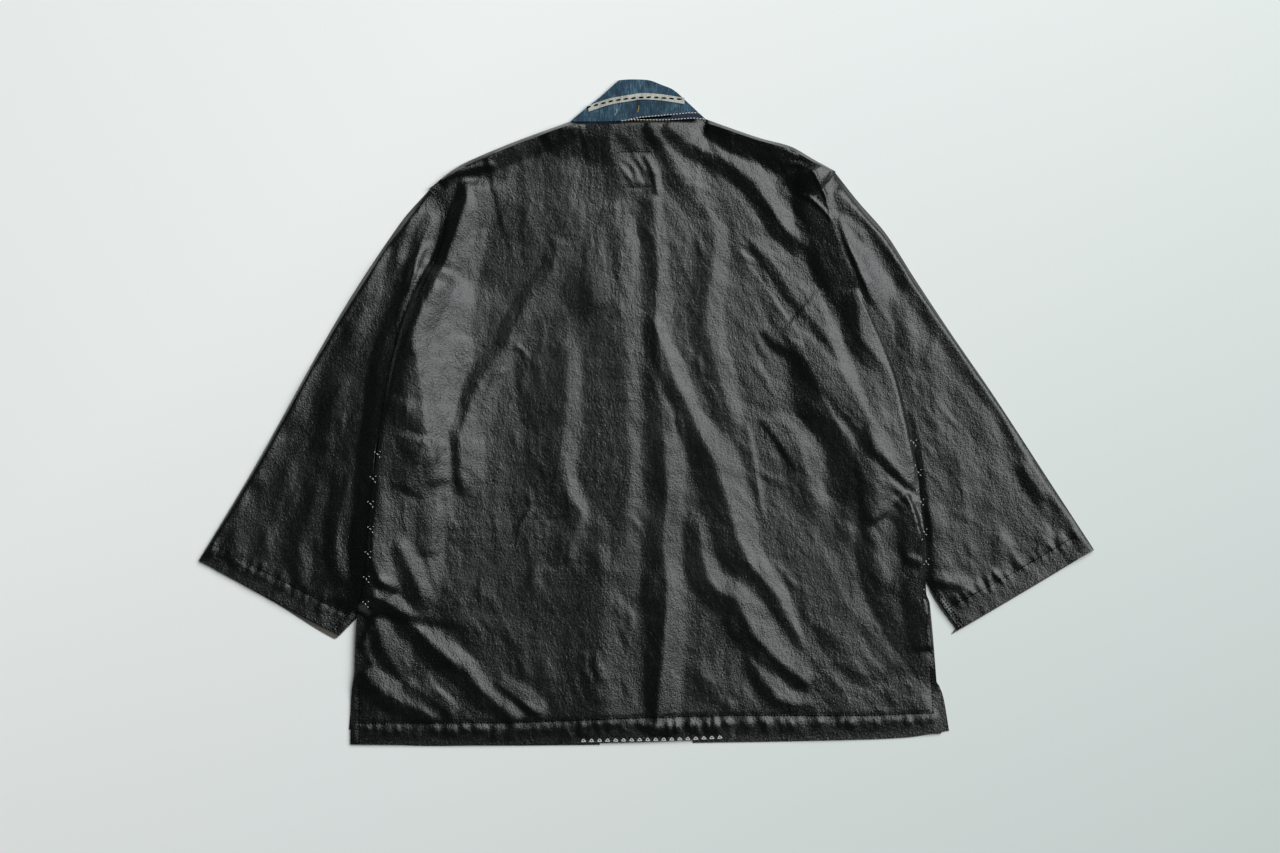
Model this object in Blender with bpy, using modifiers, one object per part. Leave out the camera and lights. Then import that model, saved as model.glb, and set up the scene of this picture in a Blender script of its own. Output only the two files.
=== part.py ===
"""Noragi jacket, laid face down on a flat surface with its back up.

Lengths in the tables are millimetres. X runs across the jacket, Y up its back towards the collar,
and Z up from the surface it lies on. The wearer's left is at -X. The layers from the surface up are
the sleeves where they are tucked under the body, the two fronts with the collar's bands, and the back.
"""

from collections import namedtuple

import bpy
import numpy as np

MM = 0.001
CLOTH = 1.2
DENIM = 1.8
TAPE = 1.0
GAP = 0.3

# Heights of the lower faces of the layers.
SLEEVE_HEIGHT = 3.8
FRONT_ON_SLEEVE = SLEEVE_HEIGHT + GAP
BACK_ON_FRONT = CLOTH + GAP
BACK_ON_BAND = DENIM + GAP
BACK_ON_SLEEVE = SLEEVE_HEIGHT + GAP
BACK_ON_TUCK = FRONT_ON_SLEEVE + CLOTH + GAP
COLLAR_ON_BAND = DENIM + GAP

# How far each layer keeps the height of what it rests on, and how far it takes to come down.
FRONT_STEP = (24, 50)
BACK_STEP = (46, 80)
ARMHOLE_STEP = (24, 50)
RIM_STEP = (4, 34)

SLEEVE_UNDERLAP = 6
UNDERLAP_STEP = (70, 160)
FRONT_INSET = 0.9
BAND_REACH = 100
TUCK_REACH = 420
EDGE_ROUND = 1.7
EDGE_SHARE = 0.4
UNDERARM_EASE = 2
BILLOW = 6
BILLOW_REACH = 42
FOLD_RIM = 20
FOLD_FADE = 45
SLEEVE_FOLD_CLEAR = (6, 36)
SLEEVE_FOLD_EDGE = 0.18
COLLAR_CROWN = 3
COLLAR_CROWN_REACH = 24

# Cells of each sheet: across, then down its stretches. A front and its sleeve share those of the armhole.
ARMHOLE_CELLS = 11
BACK_ACROSS = (11, 12, 11)
BACK_DOWN = (17, 12, 4)
FRONT_ACROSS = 11
FRONT_DOWN = (ARMHOLE_CELLS, 7, 3)
SLEEVE_ACROSS = ARMHOLE_CELLS
SLEEVE_DOWN = 15
BAND_ACROSS = 4
BAND_DOWN = 17
COLLAR_ACROSS = 16
COLLAR_UP = 6
STRIP_ALONG = 16

# Outlines, each listed in the order given by its name, as the jacket lies.
SHOULDER_LEFT_TO_NECK = ((-252, 259), (-220, 284), (-191, 298), (-147, 316), (-89, 337))
NECK_LEFT_TO_RIGHT = ((-89, 337), (-47, 337), (-8, 339), (69, 340))
NECK_TO_SHOULDER_RIGHT = ((69, 340), (91, 332), (132, 318), (168, 308), (194, 293), (219, 279))
ARMHOLE_LEFT_DOWN = (
    (-252, 259), (-240, 241), (-237, 230), (-244, 194), (-271, 134), (-287, 92), (-300, 26), (-309, -35),
)
SIDE_LEFT_DOWN = ((-309, -35), (-318, -104), (-322, -164), (-327, -206), (-335, -234), (-338, -301))
VENT_LEFT_DOWN = ((-338, -301), (-342, -327), (-343, -385))
ARMHOLE_RIGHT_DOWN = (
    (219, 279), (210, 250), (216, 221), (230, 177), (259, 115), (288, 47), (302, -8), (311, -52),
)
SIDE_RIGHT_DOWN = ((311, -52), (316, -92), (322, -151), (324, -209), (328, -221), (336, -311))
VENT_RIGHT_DOWN = ((336, -311), (341, -331), (342, -372))
BACK_HEM = ((-343, -385), (-201, -385.6), (-8, -382), (89, -379), (186, -380), (248, -378), (342, -372))

FRONT_SHOULDER_LEFT = ((-248, 255), (-220, 281), (-191, 295), (-147, 313), (-90, 334))
FRONT_SHOULDER_RIGHT = ((70, 337), (91, 329), (132, 315), (168, 305), (194, 290), (214, 274))
FRONT_HEM_LEFT = ((-345, -367), (-300, -384), (-190, -386.2), (-54, -385.4))
FRONT_HEM_RIGHT = ((54, -383), (180, -381), (300, -377), (351, -369))
FRONT_VENT_LEFT = ((-339, -301), (-341, -322), (-345, -367))
FRONT_VENT_RIGHT = ((337, -311), (344, -329), (351, -369))
BAND_SEAM_LEFT_DOWN = ((-89, 337), (-78, 260), (-60, 130), (-55, -60), (-54, -385))
BAND_SEAM_RIGHT_DOWN = ((69, 340), (68, 260), (60, 130), (55, -60), (54, -383))
BAND_FREE_LEFT_DOWN = ((-40, 375), (-28, 260), (-9, 130), (-5, -60), (-4, -385))
BAND_FREE_RIGHT_DOWN = ((31, 371), (24, 260), (9, 130), (5, -60), (4, -386))

SLEEVE_LEFT_OUTER = ((-252, 259), (-286, 220), (-358, 110), (-461, -74), (-519, -171))
SLEEVE_LEFT_INNER = (
    (-309, -35), (-312, -66), (-308, -104), (-303, -148), (-308, -192), (-335, -236), (-355, -258),
)
SLEEVE_LEFT_CUFF = ((-519, -171), (-437, -215), (-355, -258))
SLEEVE_LEFT_CUFF_UNDER = ((-519, -171), (-430, -221), (-362, -262), (-355, -258))
SLEEVE_RIGHT_OUTER = (
    (219, 279), (245, 246), (278, 208), (310, 158), (353, 93), (404, 19), (466, -77), (519, -159),
)
SLEEVE_RIGHT_INNER = ((311, -52), (316, -86), (316, -122), (313, -162), (330, -208), (360, -252))
SLEEVE_RIGHT_CUFF = ((519, -159), (440, -204), (360, -252))
SLEEVE_RIGHT_CUFF_UNDER = ((519, -159), (436, -209), (354, -257), (360, -252))

COLLAR_LEFT_UP = ((-88, 337.6), (-71, 352), (-52, 367), (-40, 378), (-32, 385))
COLLAR_TOP = ((-32, 385), (-19, 386), (3, 385), (17, 380))
COLLAR_RIGHT_UP = ((68, 340.6), (61, 347), (47, 360), (31, 374), (17, 380))
COLLAR_FOOT = ((-88, 337.6), (-47, 337.6), (-8, 339.6), (68, 340.6))
TAPE_LINE = ((-67, 352), (-42, 360), (-19, 364), (-6, 366), (14, 365), (44, 361))
TAPE_WIDTH = 7.3
STAND_TOP = ((-18, 341.6), (11, 343.2), (39, 346), (59, 347))
STAND_FOOT = ((-18, 340.6), (11, 341.2), (39, 341.6), (64, 342))

# A fold rises along its path and falls off on each side, over the widths west and east of it. On a path
# that runs down the jacket, west is towards -X. A path is listed from its upper end.
Fold = namedtuple("Fold", "path rise west east")
BACK_FOLDS = (
    Fold(path=((-180, 286), (-217, 191), (-252, 136), (-272, 69), (-259, -44)), rise=9, west=22, east=46),
    Fold(path=((-93, 188), (-123, 130), (-164, 61), (-205, 3), (-228, -32)), rise=5, west=18, east=24),
    Fold(path=((-65, 188), (-82, 48), (-91, -32), (-71, -105), (-84, -157)), rise=4, west=20, east=22),
    Fold(path=((-250, -54), (-235, -105), (-240, -160), (-244, -205)), rise=4, west=20, east=20),
    Fold(path=((-326, -210), (-258, -255), (-198, -313), (-136, -354)), rise=8, west=30, east=20),
    Fold(path=((-325, -214), (-296, -252), (-270, -286)), rise=5, west=18, east=20),
    Fold(path=((-328, -286), (-289, -322), (-249, -350)), rise=5, west=22, east=20),
    Fold(path=((14, 210), (18, 60), (21, -170), (20, -355)), rise=4.5, west=18, east=34),
    Fold(path=((31, 329), (96, 296), (134, 263), (186, 193)), rise=8, west=30, east=18),
    Fold(path=((5, 331), (41, 289), (89, 254), (143, 192), (186, 134), (234, 83)), rise=6, west=22, east=20),
    Fold(path=((186, 276), (212, 240), (230, 177), (266, 100), (298, 10)), rise=6, west=26, east=14),
    Fold(path=((11, 105), (56, -4), (89, -59), (129, -175), (176, -262)), rise=6, west=20, east=26),
    Fold(path=((67, -156), (82, -192), (114, -236), (150, -276), (186, -305)), rise=6, west=20, east=28),
    Fold(path=((172, -25), (201, -95), (215, -124)), rise=4, west=20, east=22),
    Fold(path=((263, -33), (310, -101)), rise=4, west=18, east=16),
)
SLEEVE_LEFT_FOLDS = (
    Fold(path=((-275, 150), (-330, 60), (-372, -20), (-400, -90)), rise=6, west=30, east=34),
    Fold(path=((-372, 90), (-430, -20), (-470, -110)), rise=3.5, west=24, east=26),
    Fold(path=((-352, -100), (-385, -180), (-400, -215)), rise=3, west=24, east=24),
)
SLEEVE_RIGHT_FOLDS = (
    Fold(path=((262, 190), (300, 120), (322, 60), (330, 0)), rise=7, west=24, east=34),
    Fold(path=((331, 100), (345, 0), (368, -76), (404, -112)), rise=4, west=26, east=28),
    Fold(path=((390, 0), (430, -80), (462, -130)), rise=3, west=24, east=26),
)

COATED_COTTON = ("coated cotton", (0.040, 0.043, 0.042, 1), 0.42)
INDIGO_DENIM = ("indigo denim", (0.030, 0.085, 0.150, 1), 0.85)
DARK_DENIM = ("dark denim", (0.010, 0.018, 0.060, 1), 0.85)
ECRU_TAPE = ("ecru tape", (0.560, 0.540, 0.480, 1), 0.90)


def smooth_step(value):
    value = np.clip(value, 0, 1)
    return value * value * (3 - 2 * value)


def curve_through(points, detail=24):
    """Points of a smooth curve through the given ones, which it meets exactly."""
    knots = np.array(points, float)
    padded = np.vstack([2 * knots[0] - knots[1], knots, 2 * knots[-1] - knots[-2]])
    t = np.linspace(0, 1, detail, endpoint=False)[:, None]
    spans = []
    for before, start, end, after in zip(padded, padded[1:], padded[2:], padded[3:]):
        step = np.linalg.norm(end - start)
        leave = (end - before) * step / max(np.linalg.norm(start - before) + step, 1e-9)
        arrive = (after - start) * step / max(np.linalg.norm(after - end) + step, 1e-9)
        spans.append(
            (2 * t**3 - 3 * t**2 + 1) * start
            + (t**3 - 2 * t**2 + t) * leave
            + (3 * t**2 - 2 * t**3) * end
            + (t**3 - t**2) * arrive
        )
    return np.vstack(spans + [knots[-1:]])


def stretch(points, cells, ease=1):
    """The curve through the points in even steps along it, or in shorter first ones where ease is over 1."""
    curve = curve_through(points)
    along = np.r_[0, np.cumsum(np.linalg.norm(np.diff(curve, axis=0), axis=1))]
    stops = along[-1] * np.linspace(0, 1, cells + 1) ** ease
    return np.column_stack([np.interp(stops, along, curve[:, axis]) for axis in (0, 1)])


def edge(stretches, cells):
    """Several stretches joined end to end, each with its own number of cells."""
    parts = [stretch(points, count) for points, count in zip(stretches, cells)]
    return np.vstack([parts[0]] + [part[1:] for part in parts[1:]])


def patch(top, bottom, left, right):
    """A grid that meets four edges. Rows run down from top to bottom and columns from left to right."""
    across = np.linspace(0, 1, len(top))[None, :, None]
    down = np.linspace(0, 1, len(left))[:, None, None]
    straight = (1 - down) * top[None] + down * bottom[None]
    left_bend = left[:, None] - (1 - down) * left[0] - down * left[-1]
    right_bend = right[:, None] - (1 - down) * right[0] - down * right[-1]
    return straight + (1 - across) * left_bend + across * right_bend


def nearest_on(path, grid):
    """Distance from each grid point to a path, the side it lies on and how far along the path that is."""
    points = grid.reshape(-1, 1, 2)
    start = path[:-1]
    run = path[1:] - start
    length = np.linalg.norm(run, axis=1)
    share = np.clip(((points - start) * run).sum(2) / length**2, 0, 1)
    away = points - (start + share[..., None] * run)
    distance = np.linalg.norm(away, axis=2)
    best = distance.argmin(1)
    rows = np.arange(len(best))
    side = run[best, 0] * away[rows, best, 1] - run[best, 1] * away[rows, best, 0]
    along = np.r_[0, np.cumsum(length)][best] + share[rows, best] * length[best]
    shape = grid.shape[:-1]
    return distance[rows, best].reshape(shape), side.reshape(shape), along.reshape(shape), length.sum()


def inside(outline, grid):
    """True for the grid points within a closed outline."""
    x, y = grid[..., 0, None], grid[..., 1, None]
    start, end = outline, np.roll(outline, -1, axis=0)
    crosses = (start[:, 1] > y) != (end[:, 1] > y)
    rise = np.where(end[:, 1] == start[:, 1], 1, end[:, 1] - start[:, 1])
    at = start[:, 0] + (y - start[:, 1]) / rise * (end[:, 0] - start[:, 0])
    return (crosses & (x < at)).sum(-1) % 2 == 1


def distance_from(outline, grid):
    """Distance to an area, zero within it."""
    distance = nearest_on(np.vstack([outline, outline[:1]]), grid)[0]
    return np.where(inside(outline, grid), 0, distance)


def distance_within(outline, grid):
    """Distance to the rim of an area, zero outside it."""
    distance = nearest_on(np.vstack([outline, outline[:1]]), grid)[0]
    return np.where(inside(outline, grid), distance, 0)


def come_down(distance, step):
    """One up to the first distance of the step, and zero from the second."""
    start, end = step
    return 1 - smooth_step((distance - start) / (end - start))


def folds_at(folds, grid):
    total = np.zeros(grid.shape[:-1])
    for fold in folds:
        distance, side, along, length = nearest_on(curve_through(fold.path, 6), grid)
        width = np.where(side > 0, fold.east, fold.west)
        profile = 0.5 + 0.5 * np.cos(np.pi * np.clip(distance / width, 0, 1))
        ends = smooth_step(along / FOLD_FADE) * smooth_step((length - along) / FOLD_FADE)
        total = total + fold.rise * profile * ends
    return total


def moved_sideways(points, by):
    return tuple((x + by, y) for x, y in points)


def cloth_material(finish):
    name, colour, roughness = finish
    material = bpy.data.materials.new(name)
    material.use_nodes = True
    shader = material.node_tree.nodes["Principled BSDF"]
    shader.inputs["Base Color"].default_value = colour
    shader.inputs["Roughness"].default_value = roughness
    shader.inputs["Metallic"].default_value = 0
    return material


def cloth_object(name, grid, heights, wall, finish, ring=False):
    """An object from rows of points. A sheet is thickened upwards from its lower face, a ring inwards."""
    rows, columns = heights.shape
    points = np.concatenate([grid, heights[..., None]], axis=2).reshape(-1, 3) * MM
    index = np.arange(rows * columns).reshape(rows, columns)
    if ring:
        index = np.hstack([index, index[:, :1]])
    corners = (index[:-1, :-1], index[1:, :-1], index[1:, 1:], index[:-1, 1:])
    faces = np.stack(corners, axis=2).reshape(-1, 4)
    mesh = bpy.data.meshes.new(name)
    mesh.from_pydata(points.tolist(), [], faces.tolist())
    mesh.shade_smooth()
    mesh.materials.append(cloth_material(finish))
    obj = bpy.data.objects.new(name, mesh)
    bpy.data.collections["noragi"].objects.link(obj)
    thicken = obj.modifiers.new("cloth wall", "SOLIDIFY")
    thicken.thickness = wall * MM
    thicken.offset = -1 if ring else 1
    return obj


def outline_of(*curves):
    """A closed outline from curves that run on from one another."""
    return np.vstack([curve_through(points, 8)[:-1] for points in curves])


def tuck_area(inner, side_sign):
    """The part of a sleeve that lies under the body, closed well outside the body's side."""
    curve = curve_through(inner, 8)
    far = side_sign * TUCK_REACH
    return np.vstack([curve, [[far, curve[-1, 1]], [far, curve[0, 1]]]])


LEFT_TUCK = tuck_area(SLEEVE_LEFT_INNER, -1)
RIGHT_TUCK = tuck_area(SLEEVE_RIGHT_INNER, 1)
BACK_AREA = outline_of(
    SHOULDER_LEFT_TO_NECK, NECK_LEFT_TO_RIGHT, NECK_TO_SHOULDER_RIGHT, ARMHOLE_RIGHT_DOWN, SIDE_RIGHT_DOWN,
    VENT_RIGHT_DOWN, BACK_HEM[::-1], VENT_LEFT_DOWN[::-1], SIDE_LEFT_DOWN[::-1], ARMHOLE_LEFT_DOWN[::-1],
)


def build_back():
    top = edge((SHOULDER_LEFT_TO_NECK, NECK_LEFT_TO_RIGHT, NECK_TO_SHOULDER_RIGHT), BACK_ACROSS)
    bottom = stretch(BACK_HEM, sum(BACK_ACROSS))
    left = edge((ARMHOLE_LEFT_DOWN, SIDE_LEFT_DOWN, VENT_LEFT_DOWN), BACK_DOWN)
    right = edge((ARMHOLE_RIGHT_DOWN, SIDE_RIGHT_DOWN, VENT_RIGHT_DOWN), BACK_DOWN)
    grid = patch(top, bottom, left, right)
    tuck = np.minimum(distance_from(LEFT_TUCK, grid), distance_from(RIGHT_TUCK, grid))
    left_armhole = nearest_on(curve_through(ARMHOLE_LEFT_DOWN), grid)[0]
    right_armhole = nearest_on(curve_through(ARMHOLE_RIGHT_DOWN), grid)[0]
    armhole = np.minimum(left_armhole, right_armhole)
    rim = distance_within(BACK_AREA, grid)
    layers = (
        (BACK_ON_BAND, 1 - come_down(rim, RIM_STEP)),
        (BACK_ON_BAND, np.abs(grid[..., 0]) < BAND_REACH),
        (BACK_ON_SLEEVE, come_down(armhole, ARMHOLE_STEP)),
        (BACK_ON_TUCK, come_down(tuck, BACK_STEP)),
    )
    base = np.max([BACK_ON_FRONT + (height - BACK_ON_FRONT) * share for height, share in layers], axis=0)
    lift = BILLOW * smooth_step(rim / BILLOW_REACH) + folds_at(BACK_FOLDS, grid) * smooth_step(rim / FOLD_RIM)
    cloth_object("back", grid, base + lift, CLOTH, COATED_COTTON)


def build_front(name, shoulder, armhole, side, vent, hem, band_seam, tuck_outline):
    """One front under the back, from its armhole and side to the seam with the collar's band."""
    top = stretch(shoulder, FRONT_ACROSS)
    bottom = stretch(hem, FRONT_ACROSS)
    outer = edge((armhole, side, vent), FRONT_DOWN)
    seam = stretch(band_seam, sum(FRONT_DOWN))
    on_left = outer[0, 0] < seam[0, 0]
    outer[0] = top[0] if on_left else top[-1]
    grid = patch(top, bottom, outer, seam) if on_left else patch(top, bottom, seam, outer)
    tuck = distance_from(tuck_outline, grid)
    heights = FRONT_ON_SLEEVE * come_down(tuck, FRONT_STEP)
    cloth_object(name, grid, heights, CLOTH, COATED_COTTON)


def build_sleeve(name, armhole, outer, inner, cuff, cuff_under, folds, inward):
    """A flattened tube. Its upper layer runs under the back's edge, and its lower layer meets the front's."""
    above_foot = np.array([y - armhole[-1][1] for x, y in armhole])
    underlap = SLEEVE_UNDERLAP * (1 - come_down(above_foot, UNDERLAP_STEP)) - GAP
    upper_armhole = tuple((x + inward * reach, y) for (x, y), reach in zip(armhole, underlap))
    outer_edge = stretch(outer, SLEEVE_DOWN)
    inner_edge = stretch(inner, SLEEVE_DOWN, UNDERARM_EASE)
    turn = 1 if inward > 0 else -1

    def layer(top_points, bottom_points):
        top = stretch(top_points, SLEEVE_ACROSS)
        bottom = stretch(bottom_points, SLEEVE_ACROSS)
        return patch(top, bottom, outer_edge, inner_edge)

    upper = layer(upper_armhole, cuff)
    lower = layer(moved_sideways(armhole, -inward * GAP), cuff_under)
    clear = distance_from(BACK_AREA, upper)
    across = np.linspace(0, 1, SLEEVE_ACROSS + 1)[None, :]
    edges = smooth_step(np.minimum(across, 1 - across) / SLEEVE_FOLD_EDGE)
    folds_up = folds_at(folds, upper) * (1 - come_down(clear, SLEEVE_FOLD_CLEAR)) * edges
    upper_height = SLEEVE_HEIGHT + folds_up
    lower_height = np.zeros(lower.shape[:2])

    def pulled_in(rows):
        """The rows with their first and last columns moved in, square to the fold that each lies on."""
        rows = rows.copy()
        for column, next_column in ((0, 1), (-1, -2)):
            along = np.gradient(rows[:, column], axis=0)
            square = np.column_stack([-along[:, 1], along[:, 0]]) / np.linalg.norm(along, axis=1)[:, None]
            room = (square * (rows[:, next_column] - rows[:, column])).sum(1)[:, None]
            rows[:, column] += square * np.sign(room) * np.minimum(EDGE_ROUND, EDGE_SHARE * np.abs(room))
        return rows

    middle = (upper + lower) / 2
    half = np.full((SLEEVE_DOWN + 1, 1), SLEEVE_HEIGHT / 2)
    lower = pulled_in(lower)
    upper = pulled_in(upper)
    ring = np.concatenate([middle[:, :1], upper, middle[:, -1:], lower[:, ::-1]], axis=1)
    heights = np.concatenate([half, upper_height, half, lower_height], axis=1)
    cloth_object(name, ring[:, ::turn], heights[:, ::turn], CLOTH, COATED_COTTON, ring=True)


def collar_height(grid):
    """Lower face of the collar at the neck: flat at its rim and a little crowned between."""
    outline = outline_of(COLLAR_LEFT_UP, COLLAR_TOP, COLLAR_RIGHT_UP[::-1], COLLAR_FOOT[::-1])
    return COLLAR_ON_BAND + COLLAR_CROWN * smooth_step(distance_within(outline, grid) / COLLAR_CROWN_REACH)


def build_collar():
    top = stretch(COLLAR_TOP, COLLAR_ACROSS)
    foot = stretch(COLLAR_FOOT, COLLAR_ACROSS)
    left = stretch(COLLAR_LEFT_UP, COLLAR_UP)[::-1]
    right = stretch(COLLAR_RIGHT_UP, COLLAR_UP)[::-1]
    grid = patch(top, foot, left, right)
    cloth_object("collar_back", grid, collar_height(grid), DENIM, INDIGO_DENIM)


def build_band(name, seam, free, shift):
    """A band down a front edge, from the collar's folded side to the hem, beside its front."""
    seam_edge = stretch(moved_sideways(seam, shift), BAND_DOWN)
    free_edge = stretch(free, BAND_DOWN)
    left, right = (seam_edge, free_edge) if shift > 0 else (free_edge, seam_edge)
    top = stretch((left[0], right[0]), BAND_ACROSS)
    bottom = stretch((left[-1], right[-1]), BAND_ACROSS)
    grid = patch(top, bottom, left, right)
    cloth_object(name, grid, np.zeros(grid.shape[:2]), DENIM, INDIGO_DENIM)


def build_on_collar(name, top, foot, finish):
    """A strip that lies on the collar, from the collar's own surface moved out."""
    upper = stretch(top, STRIP_ALONG)
    lower = stretch(foot, STRIP_ALONG)
    left = stretch((upper[0], lower[0]), 2)
    right = stretch((upper[-1], lower[-1]), 2)
    grid = patch(upper, lower, left, right)
    heights = collar_height(grid) + DENIM + 2 * GAP
    cloth_object(name, grid, heights, TAPE, finish)


def main():
    for obj in list(bpy.data.objects):
        bpy.data.objects.remove(obj, do_unlink=True)
    bpy.context.scene.collection.children.link(bpy.data.collections.new("noragi"))

    build_back()
    build_front(
        "front_left",
        FRONT_SHOULDER_LEFT,
        moved_sideways(ARMHOLE_LEFT_DOWN, FRONT_INSET),
        moved_sideways(SIDE_LEFT_DOWN, FRONT_INSET),
        FRONT_VENT_LEFT,
        FRONT_HEM_LEFT,
        BAND_SEAM_LEFT_DOWN,
        LEFT_TUCK,
    )
    build_front(
        "front_right",
        FRONT_SHOULDER_RIGHT,
        moved_sideways(ARMHOLE_RIGHT_DOWN, -FRONT_INSET),
        moved_sideways(SIDE_RIGHT_DOWN, -FRONT_INSET),
        FRONT_VENT_RIGHT,
        FRONT_HEM_RIGHT,
        BAND_SEAM_RIGHT_DOWN,
        RIGHT_TUCK,
    )
    build_sleeve(
        "sleeve_left", ARMHOLE_LEFT_DOWN, SLEEVE_LEFT_OUTER, SLEEVE_LEFT_INNER, SLEEVE_LEFT_CUFF,
        SLEEVE_LEFT_CUFF_UNDER, SLEEVE_LEFT_FOLDS, 1,
    )
    build_sleeve(
        "sleeve_right", ARMHOLE_RIGHT_DOWN, SLEEVE_RIGHT_OUTER, SLEEVE_RIGHT_INNER, SLEEVE_RIGHT_CUFF,
        SLEEVE_RIGHT_CUFF_UNDER, SLEEVE_RIGHT_FOLDS, -1,
    )
    build_band("collar_left", BAND_SEAM_LEFT_DOWN, BAND_FREE_LEFT_DOWN, GAP)
    build_band("collar_right", BAND_SEAM_RIGHT_DOWN, BAND_FREE_RIGHT_DOWN, -GAP)
    build_collar()
    tape_top = tuple((x, y + TAPE_WIDTH / 2) for x, y in TAPE_LINE)
    tape_foot = tuple((x, y - TAPE_WIDTH / 2) for x, y in TAPE_LINE)
    build_on_collar("collar_tape", tape_top, tape_foot, ECRU_TAPE)
    build_on_collar("collar_stand", STAND_TOP, STAND_FOOT, DARK_DENIM)


main()
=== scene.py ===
# Noragi jacket laid face down, back up, on a pale surface. Lengths in the tables are millimetres.
import bpy
import numpy as np
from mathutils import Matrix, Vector


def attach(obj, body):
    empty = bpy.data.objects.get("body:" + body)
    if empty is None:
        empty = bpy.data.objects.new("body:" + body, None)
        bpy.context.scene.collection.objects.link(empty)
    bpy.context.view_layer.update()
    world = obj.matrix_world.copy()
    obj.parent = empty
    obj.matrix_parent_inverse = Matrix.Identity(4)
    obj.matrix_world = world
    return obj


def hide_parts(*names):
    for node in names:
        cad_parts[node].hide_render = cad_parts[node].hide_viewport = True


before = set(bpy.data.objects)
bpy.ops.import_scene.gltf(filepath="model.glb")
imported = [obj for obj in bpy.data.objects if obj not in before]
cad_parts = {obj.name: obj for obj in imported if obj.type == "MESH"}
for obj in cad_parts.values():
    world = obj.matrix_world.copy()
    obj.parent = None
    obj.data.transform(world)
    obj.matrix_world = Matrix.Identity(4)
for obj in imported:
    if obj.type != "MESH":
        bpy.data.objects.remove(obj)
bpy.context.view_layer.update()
mm = 0.001

# What a user would change on each piece.
cloth = dict(wall=1.2, gap=0.3, sharpFrom=48)
backPanel = dict(
    across=288, down=304, coarse=4, billow=3, billowReach=240, hemReach=150, hemStep=0.1, hemTurn=(18, 26),
    creaseLift=1.4, creaseReach=22, foldReach=5, foldStart=0.15, seamReach=4, seamStart=0.3,
)
frontPanel = dict(across=64, down=120, inset=0.9)
sleevePanel = dict(
    across=104, down=124, evening=600, top=3.8, edgeRound=0.7, edgeLimit=0.4, edgeCells=10, edgeStart=0.62,
    underlap=6, underlapStep=(70, 160), clearReach=10, creaseLift=1.0, creaseReach=16, seamReach=4,
    cuffStep=0.1, cuffTurn=(15, 18),
)
backCollar = dict(
    across=110, down=44, wall=1.8, rest=2.1, crown=3.0, crownReach=24, wave=0.5, waveSize=16, waveReach=8,
    waveSeed=41,
)
bandCollar = dict(across=18, down=180, wall=1.8, inset=0.3, foot=-379)
collarStrips = dict(across=120, down=8, wall=1.0, tapeWidth=7.3)
layers = dict(
    frontOnSleeve=4.1, backOnFront=1.5, backOnBand=2.1, backOnSleeve=4.1, backOnTuck=5.6,
    frontStep=(24, 50), backStep=(46, 80), armholeStep=(24, 50), rimStep=(4, 34), bandReach=100,
)
ripple = dict(
    step=1.5, left=-540, low=-400, right=540, high=400, foot=0.08, fadeFrom=1.6, fadeOver=0.6,
    boxReach=1.7, boxRim=8, bend=2.4, bendSize=48, fineBend=0.8, fineBendSize=14, wave=0.7, waveSize=75, waveSeed=21,
)
edgeDetail = 5  # points for each stretch of an outline where distances are measured
coating = dict(
    creases=(((150, 80, 100), 0.72), ((330, 210, 260), 0.48)), grain=520, grainShare=0.34, speckle=640, patches=14,
    darkest=0.34, lightest=0.66, roughPatches=0.1, roughSpeckle=0.44, roughMiddle=0.27,
)
twill = dict(
    ribs=6.283, ribsShare=0.35, weft=9.4, weftShare=0.15, slubs=(900, 130, 100), slubsShare=0.6, patches=55,
    patchesShare=0.4, stops=(0.36, 0.52, 0.68), roughness=0.85, sheen=0.15, bump=0.00035, bumpFade=0.8,
)
window = dict(azimuth=38, height=51.0, distance=9.0, width=11.5, tall=8.1, watts=1340, sky=0.03)
# The paper's colour carries painted shade: it runs from light to dark along the shade slope, darker towards the lower
# right.
surface = dict(
    reach=6.0, level=-0.0003, shadeSlope=(0.44, -0.42), start=0.25, fibres=0.04, light=(0.91, 0.90, 0.895),
    dark=(0.49, 0.54, 0.52),
)
view = dict(place=(-0.0075, -0.0162, 3.506), lens=85, film=36)
sewing = dict(cell=1.5, bed=0.3, clear=0.25)
stitchLooks = dict(
    seams=dict(pitch=3.6, width=1.5, height=0.5, sway=0.08, seed=1),
    crosses=dict(pitch=29, width=0.9, height=0.6, sway=0.6, seed=3),
    peaks=dict(pitch=9.29, width=1.2, height=0.8, sway=0.12, seed=4),
    dashes=dict(pitch=8.35, width=2.1, height=0.7, sway=0.12, seed=5),
    stand=dict(pitch=3.5, width=1.15, height=0.9, sway=0.3, seed=6),
    whiteEnd=dict(pitch=1.6, width=0.6, height=0.5, sway=0.1, seed=7),
    yellowEnd=dict(pitch=1.8, width=0.9, height=0.6, sway=0.1, seed=8),
    standShadow=dict(pitch=2.4, width=2.4, height=0.4, sway=0.1, seed=9),
)

inward = dict(left=1, right=-1)  # which way along X is towards the middle of the jacket

# Outlines of the panels as the jacket lies. They repeat the solids' own outlines.
neckline = ((-89, 337), (-47, 337), (-8, 339), (69, 340))
backHem = ((-343, -385), (-201, -385.6), (-8, -382), (89, -379), (186, -380), (248, -378), (342, -372))
shoulders = dict(
    left=((-252, 259), (-220, 284), (-191, 298), (-147, 316), (-89, 337)),
    right=((69, 340), (91, 332), (132, 318), (168, 308), (194, 293), (219, 279)),
)
armholes = dict(
    left=((-252, 259), (-240, 241), (-237, 230), (-244, 194), (-271, 134), (-287, 92), (-300, 26), (-309, -35)),
    right=((219, 279), (210, 250), (216, 221), (230, 177), (259, 115), (288, 47), (302, -8), (311, -52)),
)
sideSeams = dict(
    left=((-309, -35), (-318, -104), (-322, -164), (-327, -206), (-335, -234), (-338, -301)),
    right=((311, -52), (316, -92), (322, -151), (324, -209), (328, -221), (336, -311)),
)
vents = dict(left=((-338, -301), (-342, -327), (-343, -385)), right=((336, -311), (341, -331), (342, -372)))
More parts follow.
